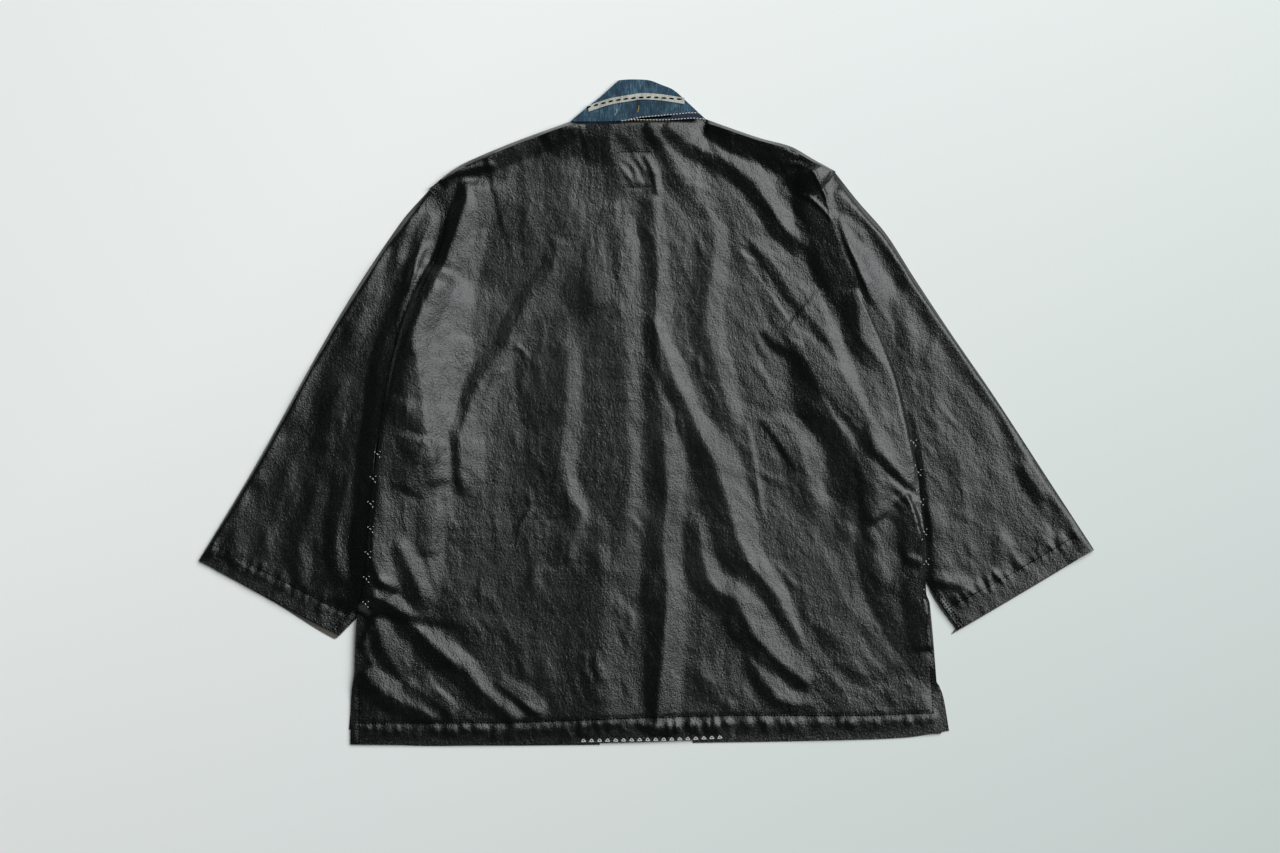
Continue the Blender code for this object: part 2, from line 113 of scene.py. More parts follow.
frontShoulders = dict(
    left=((-248, 255), (-220, 281), (-191, 295), (-147, 313), (-90, 334)),
    right=((70, 337), (91, 329), (132, 315), (168, 305), (194, 290), (214, 274)),
)
frontHems = dict(
    left=((-345, -367), (-300, -384), (-190, -386.2), (-54, -385.4)),
    right=((54, -383), (180, -381), (300, -377), (351, -369)),
)
frontVents = dict(left=((-339, -301), (-341, -322), (-345, -367)), right=((337, -311), (344, -329), (351, -369)))
bandSeams = dict(
    left=((-89, 337), (-78, 260), (-60, 130), (-55, -60), (-54, -385)),
    right=((69, 340), (68, 260), (60, 130), (55, -60), (54, -383)),
)
bandEdges = dict(
    left=((-40, 375), (-28, 260), (-9, 130), (-5, -60), (-4, -379)),
    right=((31, 371), (24, 260), (9, 130), (5, -60), (4, -379)),
)
sleeveOutlines = dict(
    left=dict(
        outer=((-252, 259), (-286, 220), (-358, 110), (-461, -74), (-519, -171)),
        inner=((-309, -35), (-312, -66), (-308, -104), (-303, -148), (-308, -192), (-335, -236), (-355, -258)),
        cuff=((-519, -171), (-437, -215), (-355, -258)),
        cuffUnder=((-519, -171), (-430, -221), (-362, -262), (-355, -258)),
    ),
    right=dict(
        outer=((219, 279), (245, 246), (278, 208), (310, 158), (353, 93), (404, 19), (466, -77), (519, -159)),
        inner=((311, -52), (316, -86), (316, -122), (313, -162), (330, -208), (360, -252)),
        cuff=((519, -159), (440, -204), (360, -252)),
        cuffUnder=((519, -159), (436, -209), (354, -257), (360, -252)),
    ),
)
collarLeft = ((-88, 337.6), (-71, 352), (-52, 367), (-40, 378), (-32, 385))
collarTop = ((-32, 385), (-19, 386), (3, 385), (17, 380))
collarRight = ((68, 340.6), (61, 347), (47, 360), (31, 374), (17, 380))
collarFoot = ((-88, 337.6), (-47, 337.6), (-8, 339.6), (68, 340.6))
tapeLine = ((-67, 352), (-42, 360), (-19, 364), (-6, 366), (14, 365), (44, 361))
standTop = ((-18, 341.6), (11, 343.2), (39, 346), (59, 347))
standFoot = ((-18, 340.6), (11, 341.2), (39, 341.6), (64, 342))
seamLines = dict(
    hem=((-332, -360), (-166, -359), (-100, -357), (-13, -354), (108, -351), (248, -351), (332, -348)),
    ventLeft=((-333, -316), (-333, -359), (-333, -382)),
    ventRight=((329, -296), (331, -322), (332, -347)),
    cuffLeft=((-503, -152), (-424, -194), (-345, -234)),
    cuffRight=((497, -143), (424, -186), (350, -226)),
    underarmLeft=((-343, -230), (-361, -253)),
    underarmRight=((331, -204), (364, -248)),
    armholeLeft=((-246, 258), (-240, 246), (-234, 237), (-233, 226), (-238, 193), (-251, 160), (-265, 130)),
    labelTop=((-32, 301), (-14, 302), (3, 302)),
    labelFoot=((-26, 261), (-12, 261), (3, 262)),
    crossesLeft=((-310, -48), (-315, -75), (-318, -104), (-318, -134), (-321, -164), (-323, -192), (-324, -221)),
    crossesRight=((309, -35), (314, -63), (316, -92), (320, -121), (322, -151), (324, -178), (324, -207)),
    hemPeaks=((-73, -380), (-13, -379), (38, -378), (85, -376)),
    tapeDashes=((-67, 354), (-55, 357), (-38, 361), (-14, 364), (4, 365), (21, 364), (38, 363)),
    standTop=((-18, 340), (-6, 342), (4, 343), (16, 344), (27, 345), (39, 346), (50, 347), (60, 347)),
    standFoot=((-28, 338), (-19, 339), (-8, 339), (6, 339), (21, 339), (39, 340), (53, 341), (66, 340)),
    whiteEnd=((-35, 351), (-34, 348), (-37, 345)),
    yellowEnd=((-9, 354), (-9, 351), (-10, 349)),
)
# Grooves along the seams: depth, and how far they run out to the lower left and to the upper right.
seamGrooves = dict(
    hem=(1.0, 9, 2.4), ventLeft=(0.6, 2.8, 2.8), ventRight=(0.6, 2.8, 2.8), cuffLeft=(1.0, 4, 4),
    cuffRight=(1.0, 4, 4), armholeLeft=(0.6, 2.6, 2.6), underarmLeft=(0.4, 2, 2), underarmRight=(0.4, 2, 2),
    labelTop=(0.5, 2.2, 2.2), labelFoot=(0.5, 2.2, 2.2),
)
groove = dict(crest=0.5, ends=3)
# Puckers across a seam: line, shift up, spacing, length above and below, rise, half width, sway, seed.
seamPuckers = (
    ("hem", 0, 11, 4, 20, 1.6, 5, 0.4, 31), ("cuffLeft", 0, 11, 9, 12, 1.7, 4.2, 0.35, 32),
    ("cuffRight", 0, 11, 9, 12, 1.7, 4.2, 0.35, 33), ("ventLeft", 0, 9, 7, 5, 0.45, 3, 0.3, 34),
    ("armholeLeft", 0, 7, 4, 6, 0.5, 2.6, 0.3, 35), ("hemPeaks", 20, 7.5, 2, 17, 1.1, 3.2, 0.3, 36),
)
# How uneven the puckers are, as shares of the values above, and how their ends fade.
pucker = dict(
    shift=0.35, above=(0.4, 1.3), below=(0.5, 1.2), bend=0.12, lift=(0.4, 1.3), half=(0.7, 1.4), eastSide=1.2,
    crest=0.5, ends=0.5, shortest=3,
)
# Lean of the small creases, in degrees from straight down the jacket, positive towards +X.
creaseLean = (
    (-200, 200, -24), (-110, 120, -28), (0, 150, 0), (90, 250, 42), (170, 150, 44), (150, 0, 36), (120, -150, 30),
    (260, -130, 26), (220, -300, 40), (-150, -60, -6), (-220, -260, 36), (-60, -260, 6), (40, -260, 6),
    (-250, -100, 8), (-330, 120, -30), (-390, -60, -18), (-460, -140, -24), (320, 100, 24), (400, -60, 30),
    (450, -140, 34),
)
leanTurn = 40  # the lean attribute is 1 at this angle
leanSpread = 30  # how far a row of the table reaches at full weight
leanWays = ((-38, -1), (0, 0), (38, 1))  # the directions that are mixed: angle, and the lean where each is full
creaseShape = dict(
    left=-520, right=520, low=-385, high=345, lean=15, bend=0.22, sides=(0.7, 1.6), crest=0.25, ends=0.8
)
# How many small creases, their lengths, half widths and rises, and the seed.
creaseSets = (
    dict(count=700, length=(22, 64), width=(3.6, 7), rise=(-0.4, 0.62), seed=4),
    dict(count=1800, length=(9, 30), width=(2.6, 4), rise=(-0.2, 0.34), seed=5),
)
# Crumpled grain of the cloth: height, size, stretch along the lean, seed.
crumpleMean = 0.3
crumples = ((1.3, 36, 2.2, 60), (-0.55, 17, 1.8, 70), (0.36, 8.5, 1.6, 80))

# Folds listed one by one: the crest as x, y, x, y and so on, its rise, and how far it runs out to the lower left
# and to the upper right. A tuple gives a value for each point. Then, where they differ from the usual, how
# rounded the crest is and over what length the ends fade.
sharedFolds = (
    ((-243, 175, -258, 142, -274, 102, -287, 61, -296, 20, -304, -26, -311, -78, -316, -136, -321, -194, -328, -235),
     (7, 8, 9, 9, 9, 9.2, 9, 8, 7, 5), (28, 29, 28, 27, 26, 24, 24, 23, 19, 14),
     (39, 63, 74, 77, 81, 116, 111, 74, 35, 19), 4, 24),
    ((185, 284, 192, 270, 208, 246, 216, 221, 230, 177, 248, 140, 263, 107, 281, 71, 293, 31, 301, -8, 310, -49,
     316, -78), (7, 9, 10, 10.5, 10, 8.5, 4.5, 1.8, 1.2, 1.2, 1.4, 1),
     (37, 42, 46, 44, 39, 35, 28, 23, 19, 16, 14, 12), (19, 23, 28, 32, 39, 42, 42, 39, 35, 30, 23, 16)),
    ((-243, 175, -274, 102, -296, 20, -311, -78, -321, -194, -328, -235), (4, 6, 8.4, 9, 8, 5),
     (81, 93, 81, 74, 70, 60), (116, 116, 128, 151, 151, 128), 8, 30),
)
backFolds = (
    ((-205, 274, -208, 246, -216, 223, -223, 199, -229, 178, -238, 160, -249, 140, -257, 126, -266, 105, -270, 84,
     -265, 63, -262, 38, -258, 11, -255, -16, -250, -39, -243, -62, -238, -88),
     (4.5, 7.5, 8, 8, 8.4, 8.5, 8.6, 8.8, 9, 9.2, 9.3, 9.4, 9.2, 8, 6, 3.5, 1.2),
     (9, 13, 15, 16, 16, 16, 17, 19, 23, 32, 39, 44, 44, 39, 32, 28, 23),
     (51, 39, 32, 34, 36, 42, 49, 56, 64, 70, 67, 57, 43, 35, 30, 28, 26), 2, 12),
    ((-257, -25, -262, -46, -271, -69, -281, -95), (2.5, 5, 4.6, 1.5), (39, 39, 32, 21), (30, 35, 32, 23), 2, 10),
    ((-240, 270, -214, 278, -193, 284, -173, 289), (1.4, 2.6, 2.6, 1.4), 6, 5, 0.8, 8),
    ((-100, 205, -105, 193, -114, 160, -137, 127, -154, 98, -164, 72, -184, 47, -199, 21, -209, -2, -217, -23,
     -215, -46, -213, -76, -209, -102), (1, 1.4, 2, 2.4, 2.6, 2.6, 3.4, 4.2, 5, 5, 4.4, 3.2, 1),
     (14, 14, 14, 14, 14, 15, 15, 14, 13, 12, 9, 8, 7), (12, 14, 19, 21, 16, 15, 21, 28, 34, 34, 30, 23, 12)),
    ((-79, 264, -74, 212, -70, 175, -63, 140, -52, 105), (1, 2, 2.4, 2.4, 1), (24, 28, 28, 28, 24), 26, 3, 30),
    ((-85, 96, -90, 61, -93, 14, -97, -32, -98, -67, -93, -86, -84, -104, -77, -118, -81, -136, -88, -160,
     -88, -183), (1, 2.5, 3, 3.4, 3.4, 3.2, 3, 2.4, 2.2, 2, 1), (36, 39, 42, 42, 42, 39, 36, 32, 26, 26, 23),
     (14, 14, 17, 20, 21, 19, 15, 10, 9, 10, 9)),
    ((-40, 246, -32, 214, -31, 175, -31, 130, -26, 84, -23, 38, -21, -9, -18, -55, -21, -102, -28, -148, -45, -194,
     -52, -241, -50, -287, -47, -334, -45, -368), (2, 2.6, 3, 3, 2.6, 2.4, 2.4, 2.2, 2, 2, 2.4, 3, 3.6, 4, 3),
     (32, 39, 42, 45, 49, 49, 49, 42, 42, 49, 55, 55, 49, 42, 39),
     (12, 16, 26, 26, 21, 17, 16, 14, 16, 23, 39, 45, 44, 43, 42), 3, 12),
    ((6, 256, 9, 200, 11, 130, 13, 61, 17, -9, 20, -78, 21, -148, 21, -217, 17, -276, 12, -334, 8, -375),
     (1.5, 2.2, 2.4, 2.4, 2.6, 3, 4, 5.2, 5.6, 5.2, 3), (14, 16, 16, 17, 22, 26, 27, 27, 22, 15, 9),
     (10, 13, 17, 26, 30, 26, 21, 23, 28, 30, 28), 0.8, 12),
    ((-1, 335, 13, 316, 30, 295, 48, 274, 71, 251), (3, 3, 2, 1.2, 0.5), (8, 10, 13, 13, 10), (15, 17, 19, 16, 14),
     1.5, 6),
    ((20, 335, 41, 316, 60, 304, 82, 295, 106, 281, 124, 266, 135, 250, 146, 234, 157, 217, 170, 205, 187, 191),
     (2.4, 3.6, 4.4, 4.8, 5, 5, 5, 5, 4.6, 3.8, 1.6), (9, 13, 15, 16, 16, 16, 17, 17, 16, 15, 12),
     (14, 17, 21, 22, 23, 23, 22, 21, 16, 14, 7), 1.5, 6),
    ((67, 335, 97, 325, 132, 315, 166, 303, 195, 289, 215, 274), (9, 12.8, 13.6, 13.5, 12.6, 9),
     (15, 22, 26, 32, 42, 42), (3, 5, 5, 5, 5, 5), 1, 6),
    ((-70, 336, -86, 334, -118, 322, -153, 309, -188, 293, -219, 279, -242, 265), (1, 4, 7.4, 8.5, 8, 6.5, 4),
     (5, 5, 5, 5, 5, 5, 5), (14, 19, 21, 20, 17, 15, 12), 1, 12),
    ((-193, 304, -86, 330, 4, 335, 68, 332), (2, 3, 2.4, 0.8), 128, 3, 4, 6),
    ((-124, 325, -83, 335, -42, 334, 4, 335, 62, 335), (4, 9, 10.4, 7.5, 4.4), (28, 42, 46, 30, 14), 3, 1, 12),
    ((185, 281, 191, 276, 199, 260, 209, 245, 216, 221), (1, 1.8, 1.8, 1.8, 1.4), 3, 3, 0.3, 4),
    ((177, 251, 190, 246, 204, 235, 215, 221), (0.8, 1.6, 1.7, 1.2), 3, 3, 0.3, 4),
    ((162, 287, 175, 286, 187, 281), (0.8, 1.8, 1), 5, 3, 0.3, 4),
    ((20, 291, 39, 265, 60, 240, 81, 221), (1, 1.8, 1.6, 0.7), (8, 10, 10, 9), (14, 21, 21, 14)),
    ((77, 233, 78, 194, 75, 160, 67, 130, 69, 105, 76, 78, 83, 49, 90, 20, 98, -3, 107, -27),
     (1, 2.4, 2.6, 3, 3, 2.8, 2.4, 2.2, 2, 1), 19, (16, 17, 17, 20, 19, 16, 15, 14, 12, 9), 2.5),
    ((96, 235, 102, 209, 110, 186, 124, 163), (0.6, 1.1, 1.1, 0.5), 10, 16),
    ((118, 205, 129, 191, 148, 171, 164, 150, 177, 130, 190, 110, 211, 91, 231, 75),
     (0.8, 1.8, 2.3, 2.1, 1.4, 1.2, 1.5, 0.8), (9, 10, 10, 10, 10, 12, 12, 9), (9, 15, 21, 23, 23, 21, 16, 9)),
    ((114, 175, 129, 156, 146, 135, 162, 114, 175, 93, 179, 75), (0.3, 0.5, 0.7, 0.8, 0.8, 0.4), 21, 2, 0.5, 8),
    ((139, 102, 150, 85, 172, 75, 187, 59, 199, 35, 207, 9, 220, -14, 236, -38, 244, -61, 248, -84, 255, -106,
     269, -129), (1, 3, 4.5, 6, 7.4, 8, 7.6, 7.6, 7.4, 6.4, 4.6, 2), (7, 9, 14, 21, 28, 34, 28, 30, 32, 30, 28, 19),
     (42, 65, 88, 104, 111, 111, 104, 93, 88, 77, 63, 42), 2, 10),
    ((197, 100, 215, 75, 224, 54, 238, 28, 250, 5, 257, -18, 263, -37, 277, -53, 291, -67, 304, -81, 315, -92),
     (2, 3.8, 4.2, 4, 3.6, 3.4, 3.4, 3.4, 3.2, 2.6, 1.4), (42, 49, 49, 39, 30, 19, 13, 10, 9, 9, 7),
     (14, 16, 21, 26, 30, 35, 35, 30, 26, 19, 12), 1.5, 14),
    ((236, 144, 243, 125, 246, 105, 252, 86, 265, 71, 278, 48, 287, 25, 294, -2, 301, -32, 310, -61),
     (1.5, 3.6, 4.4, 4, 3.2, 3, 3, 2.8, 2.4, 1), (14, 17, 20, 23, 32, 35, 30, 23, 16, 12),
     (14, 20, 26, 30, 21, 17, 15, 13, 10, 7), 1.5, 10),
    ((276, -76, 289, -86, 303, -98, 315, -106), (0.6, 1.8, 2.2, 1.6), 8, 6, 0.8, 6),
    ((294, -166, 308, -171, 320, -175), (0.6, 1.8, 1.6), 8, 6, 0.8, 5),
    ((301, -187, 292, -194, 286, -208), 1.2, 7, 7, 0.8, 8),
    ((298, -92, 308, -115, 317, -148, 323, -177, 325, -212, 328, -243, 331, -278), (3, 6, 7.4, 7.6, 7.2, 6.4, 3),
     (16, 23, 28, 30, 30, 28, 23), (3, 3, 3, 3, 3, 3, 3), 1, 8),
    ((-1, 124, 13, 86, 27, 53, 41, 20, 53, -6, 64, -30, 78, -57, 89, -88, 97, -119, 104, -150, 115, -171, 134, -192,
     148, -208, 160, -231, 173, -255, 187, -278),
     (1.6, 2.4, 3.2, 3.4, 3.2, 4, 4.6, 4.8, 5, 4.6, 4.2, 3.4, 2.8, 2, 1.2, 0.6),
     (14, 15, 15, 16, 19, 22, 26, 29, 32, 31, 23, 17, 16, 14, 10, 7),
     (8, 10, 15, 16, 14, 21, 26, 26, 28, 26, 22, 17, 13, 9, 6, 3)),
    ((59, -108, 63, -136, 66, -163, 72, -191, 85, -207, 103, -215, 112, -235, 121, -256, 139, -276, 157, -291,
     178, -306, 194, -320), (1.4, 2.4, 3, 3.6, 4, 4.6, 5, 5, 4.8, 4.4, 3.4, 1.4),
     (16, 19, 19, 21, 23, 26, 26, 21, 16, 14, 14, 9), (8, 10, 13, 15, 19, 24, 29, 29, 26, 22, 17, 9)),
    ((112, -280, 127, -295, 141, -315, 154, -332, 178, -338, 206, -331), (1, 2.4, 3, 3, 2.2, 1),
     (9, 12, 14, 13, 9, 7), (9, 15, 17, 16, 12, 9)),
    ((171, -20, 178, -50, 185, -78, 195, -102, 211, -125), (1, 2.2, 2.4, 2.2, 1), 21, (14, 19, 20, 15, 9)),
    ((115, -9, 121, -41, 127, -78, 132, -107, 136, -125), (0.5, 1, 1.1, 1, 0.4), 14, 3, 0.5, 8),
    ((132, -6, 142, -21, 157, -42, 176, -71), (0.8, 1.6, 1.8, 1), 5, 30, 0.5, 8),
    ((227, -102, 233, -129, 238, -162), (1, 1.8, 0.8), 14, 12),
    ((234, -206, 238, -235, 245, -264), (1, 1.6, 0.8), 19, 19, 3),
    ((201, -236, 217, -255, 236, -276), (0.8, 1.2, 0.6), 12, 14),
    ((250, -166, 266, -187, 289, -211), (0.5, 0.9, 0.5), 19, 16, 2),
    ((236, -322, 271, -311, 311, -301), (-0.8, -1.4, -1), 9, 12, 3),
    ((19, -23, 25, -67, 25, -107), (1, 1.8, 0.8), 16, 21, 3),
    ((62, -281, 66, -310, 62, -340), (1, 2, 1), 19, 23, 3),
    ((88, -327, 98, -340, 106, -352), (0.8, 1.8, 1), 10, 12),
    ((-323, -209, -298, -220, -274, -241, -251, -264, -228, -284, -207, -299, -195, -316, -179, -332, -161, -347,
     -144, -359), (2.6, 3.4, 3.8, 3.9, 3.9, 3.7, 3.5, 3, 2.4, 1.4), (5, 12, 17, 20, 21, 21, 21, 17, 13, 9),
     (7, 12, 15, 16, 16, 16, 15, 14, 12, 9), 1.5, 8),
    ((-329, -215, -321, -227, -313, -243, -303, -270, -291, -292, -277, -307), (2, 2.8, 3.4, 3.4, 2.6, 1),
     (5, 7, 10, 14, 14, 9), (6, 9, 16, 28, 26, 14), 1.5, 8),
    ((-330, -296, -309, -321, -286, -334, -263, -343, -241, -356), (2.6, 3.6, 3.6, 3.2, 2), (9, 16, 17, 14, 9),
     (9, 20, 17, 15, 9), 1.5, 8),
    ((-177, -310, -158, -323, -139, -337, -117, -353), (0.8, 2, 2.4, 1.6), (6, 7, 8, 7), (12, 17, 17, 12), 1, 8),
    ((-281, -315, -263, -322, -242, -336, -221, -352), (1, 2.2, 2.4, 1.6), (8, 10, 10, 8), (9, 12, 14, 12), 1, 8),
    ((-258, -301, -243, -322, -219, -339), (0.8, 1.2, 0.6), 9, 5, 0.8, 8),
    ((-318, -243, -325, -259, -330, -276), 2, 6, 7, 1, 8),
    ((-253, -39, -243, -60, -241, -90, -243, -125, -248, -154, -251, -171), (0.6, 1.6, 2.6, 3, 2.4, 1),
     (16, 16, 19, 21, 21, 16), (14, 19, 20, 19, 14, 9)),
    ((-304, -71, -310, -102, -316, -136, -315, -169, -304, -197, -293, -213), (0.4, 1, 2, 2.8, 2.4, 1), 7,
     (12, 19, 24, 23, 16, 9), 2, 10),
    ((-288, -139, -279, -162, -270, -185, -260, -211, -249, -234), (1, 2.6, 3.2, 2.8, 1), (9, 14, 17, 17, 14),
     (9, 14, 16, 13, 7)),
    ((-318, -190, -300, -198, -284, -211), (1.6, 2, 1), 6, 8, 1, 8),
    ((-47, 309, -35, 281, -28, 251), (1, 2, 1), 16, 14, 2.5),
    ((-125, -166, -130, -194, -133, -220), (0.8, 1.4, 0.6), 9, 9),
    ((-151, -143, -142, -125, -130, -110), (0.7, 1.2, 0.7), 5, 3, 0.5, 6),
    ((-154, 81, -143, 75, -136, 64), (0.7, 1, 0.6), 6, 2, 0.4, 4),
    ((-56, -148, -54, -173, -52, -197), (0.8, 1.6, 0.7), 14, 12),
    ((-186, 17, -170, 47, -163, 54), (0.6, 0.9, 0.5), 6, 5, 0.5, 6),
    ((-62, -276, -57, -296, -49, -315), (0.6, 1.4, 0.6), 7, 6, 0.8, 8),
    ((-235, 61, -240, 38, -244, 17), (0.4, 0.7, 0.4), 7, 7, 0.8, 8),
    ((-147, -334, -135, -343, -126, -352), 0.8, 6, 6, 0.8, 5),
    ((-193, -229, -188, -204, -182, -171), (0.5, 0.9, 0.5), 12, 9, 2),
    ((-28, 295, -19, 288, -10, 274), (0.7, 1.3, 0.7), 5, 5, 0.5, 4),
    ((-19, 298, -10, 291, -1, 277), (0.7, 1.3, 0.7), 5, 5, 0.5, 4),
    ((-31, 286, -21, 274, -14, 263), (0.7, 1.2, 0.7), 5, 5, 0.5, 4),
    ((-5, 299, 3, 289, 11, 274), (0.9, 1.6, 1), 5, 6, 0.5, 4),
    ((-17, 279, -10, 270, -5, 262), (0.6, 1.1, 0.6), 5, 5, 0.5, 4),
    ((4, 284, 10, 270, 12, 251), (1, 1.8, 1), 6, 7, 0.5, 6),
)
sleeveFolds = (
    ((-339, -57, -349, -96, -357, -134, -357, -171, -349, -208), (1.2, 2, 2.4, 2.4, 1.2), (14, 15, 15, 14, 9),
     (9, 12, 13, 13, 9)),
    ((-376, -67, -383, -102, -395, -136, -402, -166, -400, -194, -393, -213), (1, 1.8, 2.2, 2.4, 2, 1),
     (15, 16, 17, 16, 12, 9), (12, 14, 15, 15, 14, 9)),
    ((-462, -88, -472, -113, -478, -136, -476, -166, -469, -187), (1, 1.8, 2, 2, 1.4), 12, (14, 19, 19, 14, 9)),
    ((-383, 63, -393, 38, -404, 5, -414, -27), (1, 1.8, 1.8, 0.8), 14, (12, 15, 15, 12), 2),
    ((-350, 47, -359, 14, -365, -18, -376, -50), (1, 1.6, 1.6, 0.8), 14, 14, 2),
    ((-423, -20, -437, -44, -451, -71, -460, -90), (1, 1.6, 1.6, 0.8), 10, 15, 2),
    ((-434, -125, -441, -148, -446, -173), (0.8, 1.4, 0.8), 9, 10),
    ((-411, -46, -418, -78, -420, -107), (0.8, 1.3, 0.8), 12, 10, 2),
    ((-302, 200, -314, 170, -325, 130, -337, 96, -349, 66), (1.4, 2.4, 2.6, 2.4, 1), (16, 16, 16, 14, 12),
     (9, 12, 14, 14, 9), 3),
    ((-243, 231, -255, 209, -264, 182, -273, 149, -282, 117, -289, 96), (1.6, 3, 3.4, 3.4, 3, 1.4),
     (14, 14, 10, 9, 8, 6), (7, 7, 6, 6, 6, 5), 0.8, 8),
    ((-249, 197, -259, 182, -267, 158, -273, 135), (1.4, 2.6, 2.6, 1.2), (5, 7, 7, 6), (9, 10, 9, 6), 0.8, 8),
    ((-265, 240, -277, 216, -284, 188, -288, 160), (1.5, 2.4, 2.4, 1), 9, 16, 2),
    ((-263, 240, -288, 209, -325, 155, -359, 99, -402, 24, -446, -55, -485, -122, -512, -169),
     (2, 2.4, 2, 1.8, 1.8, 1.8, 1.8, 1.6), 3, (8, 9, 10, 9, 9, 9, 9, 9), 1, 6),
    ((222, 231, 230, 202, 241, 175, 251, 147, 260, 121), (2, 4, 4.6, 3.6, 1), (5, 5, 6, 7, 7), (7, 28, 32, 23, 9),
     1.5, 8),
    ((228, 265, 243, 243, 259, 221, 276, 202, 294, 175, 310, 149, 336, 112, 361, 72, 390, 28, 417, -13, 445, -57,
     480, -111, 512, -157), (7, 8.6, 8.6, 7, 5, 3.4, 2.2, 1.6, 1.4, 1.4, 1.4, 1.4, 1.3),
     (19, 23, 23, 22, 20, 17, 15, 12, 10, 10, 10, 10, 10), (6, 7, 7, 7, 7, 7, 7, 7, 7, 7, 7, 7, 7), 0.8, 6),
    ((433, -50, 443, -71, 456, -92, 470, -115), (2.6, 3, 3, 1.4), (10, 13, 14, 14), (14, 19, 16, 12), 1),
    ((291, 147, 300, 119, 307, 84, 310, 47), (1, 1.8, 1.8, 0.8), 14, 16, 3),
    ((322, 89, 330, 49, 334, 10, 338, -27, 347, -67), (0.6, 1.2, 1.4, 1.2, 0.6), (16, 20, 20, 17, 14),
     (14, 16, 17, 16, 12), 2),
    ((350, -27, 364, -62, 368, -97, 366, -136), (0.6, 1.1, 1.1, 0.5), (12, 14, 14, 12), (14, 19, 16, 12), 2),
    ((324, -192, 345, -198, 368, -204, 392, -213), (1.6, 2.4, 2.2, 0.8), (8, 9, 9, 7), (12, 14, 13, 9), 0.8, 6),
    ((301, 10, 308, -32, 314, -90, 318, -148, 324, -199), (0.7, 1.6, 2.1, 2.1, 1.2), 46, (65, 72, 77, 72, 53), 3,
     24),
    ((382, 10, 392, -20, 396, -53), (0.8, 1.4, 0.6), 14, 12, 3),
    ((412, -125, 410, -154, 417, -178), (0.8, 1.8, 1), 12, 12),
    ((456, -125, 461, -148, 468, -166), (0.8, 1.6, 1), 9, 9),
    ((393, 96, 364, 130, 345, 151), (0.5, 0.9, 0.5), 9, 9, 2),
    ((317, -102, 331, -125, 340, -154), (0.8, 1.4, 0.6), 14, 14, 3),
    ((356, -204, 364, -217, 371, -231), (0.8, 1.6, 0.8), 9, 14),
)


def smoothStep(value):
    value = np.clip(value, 0, 1)
    return value * value * (3 - 2 * value)


def comeDown(distance, step):
    return 1 - smoothStep((distance - step[0]) / (step[1] - step[0]))


def movedBy(points, x=0, y=0):
    return tuple((px + x, py + y) for px, py in points)


def curveThrough(points, detail=24):
    knots = np.array(points, float)
    padded = np.vstack([2 * knots[0] - knots[1], knots, 2 * knots[-1] - knots[-2]])
    t = np.linspace(0, 1, detail, endpoint=False)[:, None]
    spans = []
    for before, start, end, after in zip(padded, padded[1:], padded[2:], padded[3:]):
        step = np.linalg.norm(end - start)
        leave = (end - before) * step / max(np.linalg.norm(start - before) + step, 1e-9)
        arrive = (after - start) * step / max(np.linalg.norm(after - end) + step, 1e-9)
        spans.append((2 * t**3 - 3 * t**2 + 1) * start + (t**3 - 2 * t**2 + t) * leave
                     + (3 * t**2 - 2 * t**3) * end + (t**3 - t**2) * arrive)
    return np.vstack(spans + [knots[-1:]])


def lengthOf(curve):
    return np.linalg.norm(np.diff(curve, axis=0), axis=1).sum()


def stretchCurve(points, cells, ease=1):
    curve = curveThrough(points)
    along = np.r_[0, np.cumsum(np.linalg.norm(np.diff(curve, axis=0), axis=1))]
    stops = along[-1] * np.linspace(0, 1, cells + 1) ** ease
    return np.column_stack([np.interp(stops, along, curve[:, axis]) for axis in (0, 1)])


def joinedEdge(stretches, cells):
    # cells are shared out by length, so that the grid stays even
    lengths = [lengthOf(curveThrough(points)) for points in stretches]
    ends = np.round(np.cumsum(lengths) / sum(lengths) * cells).astype(int)
    parts = [stretchCurve(points, count) for points, count in zip(stretches, np.diff(np.r_[0, ends]))]
    return np.vstack([parts[0]] + [part[1:] for part in parts[1:]])


def patchGrid(top, bottom, left, right, rounds=60):
    across = np.linspace(0, 1, len(top))[None, :, None]
    down = np.linspace(0, 1, len(left))[:, None, None]
    straight = (1 - down) * top[None] + down * bottom[None]
    leftBend = left[:, None] - (1 - down) * left[0] - down * left[-1]
    rightBend = right[:, None] - (1 - down) * right[0] - down * right[-1]
    grid = straight + (1 - across) * leftBend + across * rightBend
    for _ in range(rounds):  # evens out the cells, and keeps them from folding over each other
        east, west, north, south = grid[1:-1, 2:], grid[1:-1, :-2], grid[:-2, 1:-1], grid[2:, 1:-1]
        rowStep, columnStep = (south - north) / 2, (east - west) / 2
        alpha = (rowStep**2).sum(-1, keepdims=True) + 1e-9
        gamma = (columnStep**2).sum(-1, keepdims=True) + 1e-9
        beta = (rowStep * columnStep).sum(-1, keepdims=True)
        corners = (grid[2:, 2:] - grid[2:, :-2] - grid[:-2, 2:] + grid[:-2, :-2]) / 2
        grid[1:-1, 1:-1] = (alpha * (east + west) + gamma * (north + south) - beta * corners) / (2 * (alpha + gamma))
    return grid


def outlineOf(*curves):
    return np.vstack([curveThrough(points, edgeDetail)[:-1] for points in curves])


# Rasters hold heights and distances over the whole jacket, and are read between their points.
def rasterOf(step):
    x = np.arange(ripple["left"], ripple["right"] + step, step)
    y = np.arange(ripple["low"], ripple["high"] + step, step)
    return np.meshgrid(x, y)


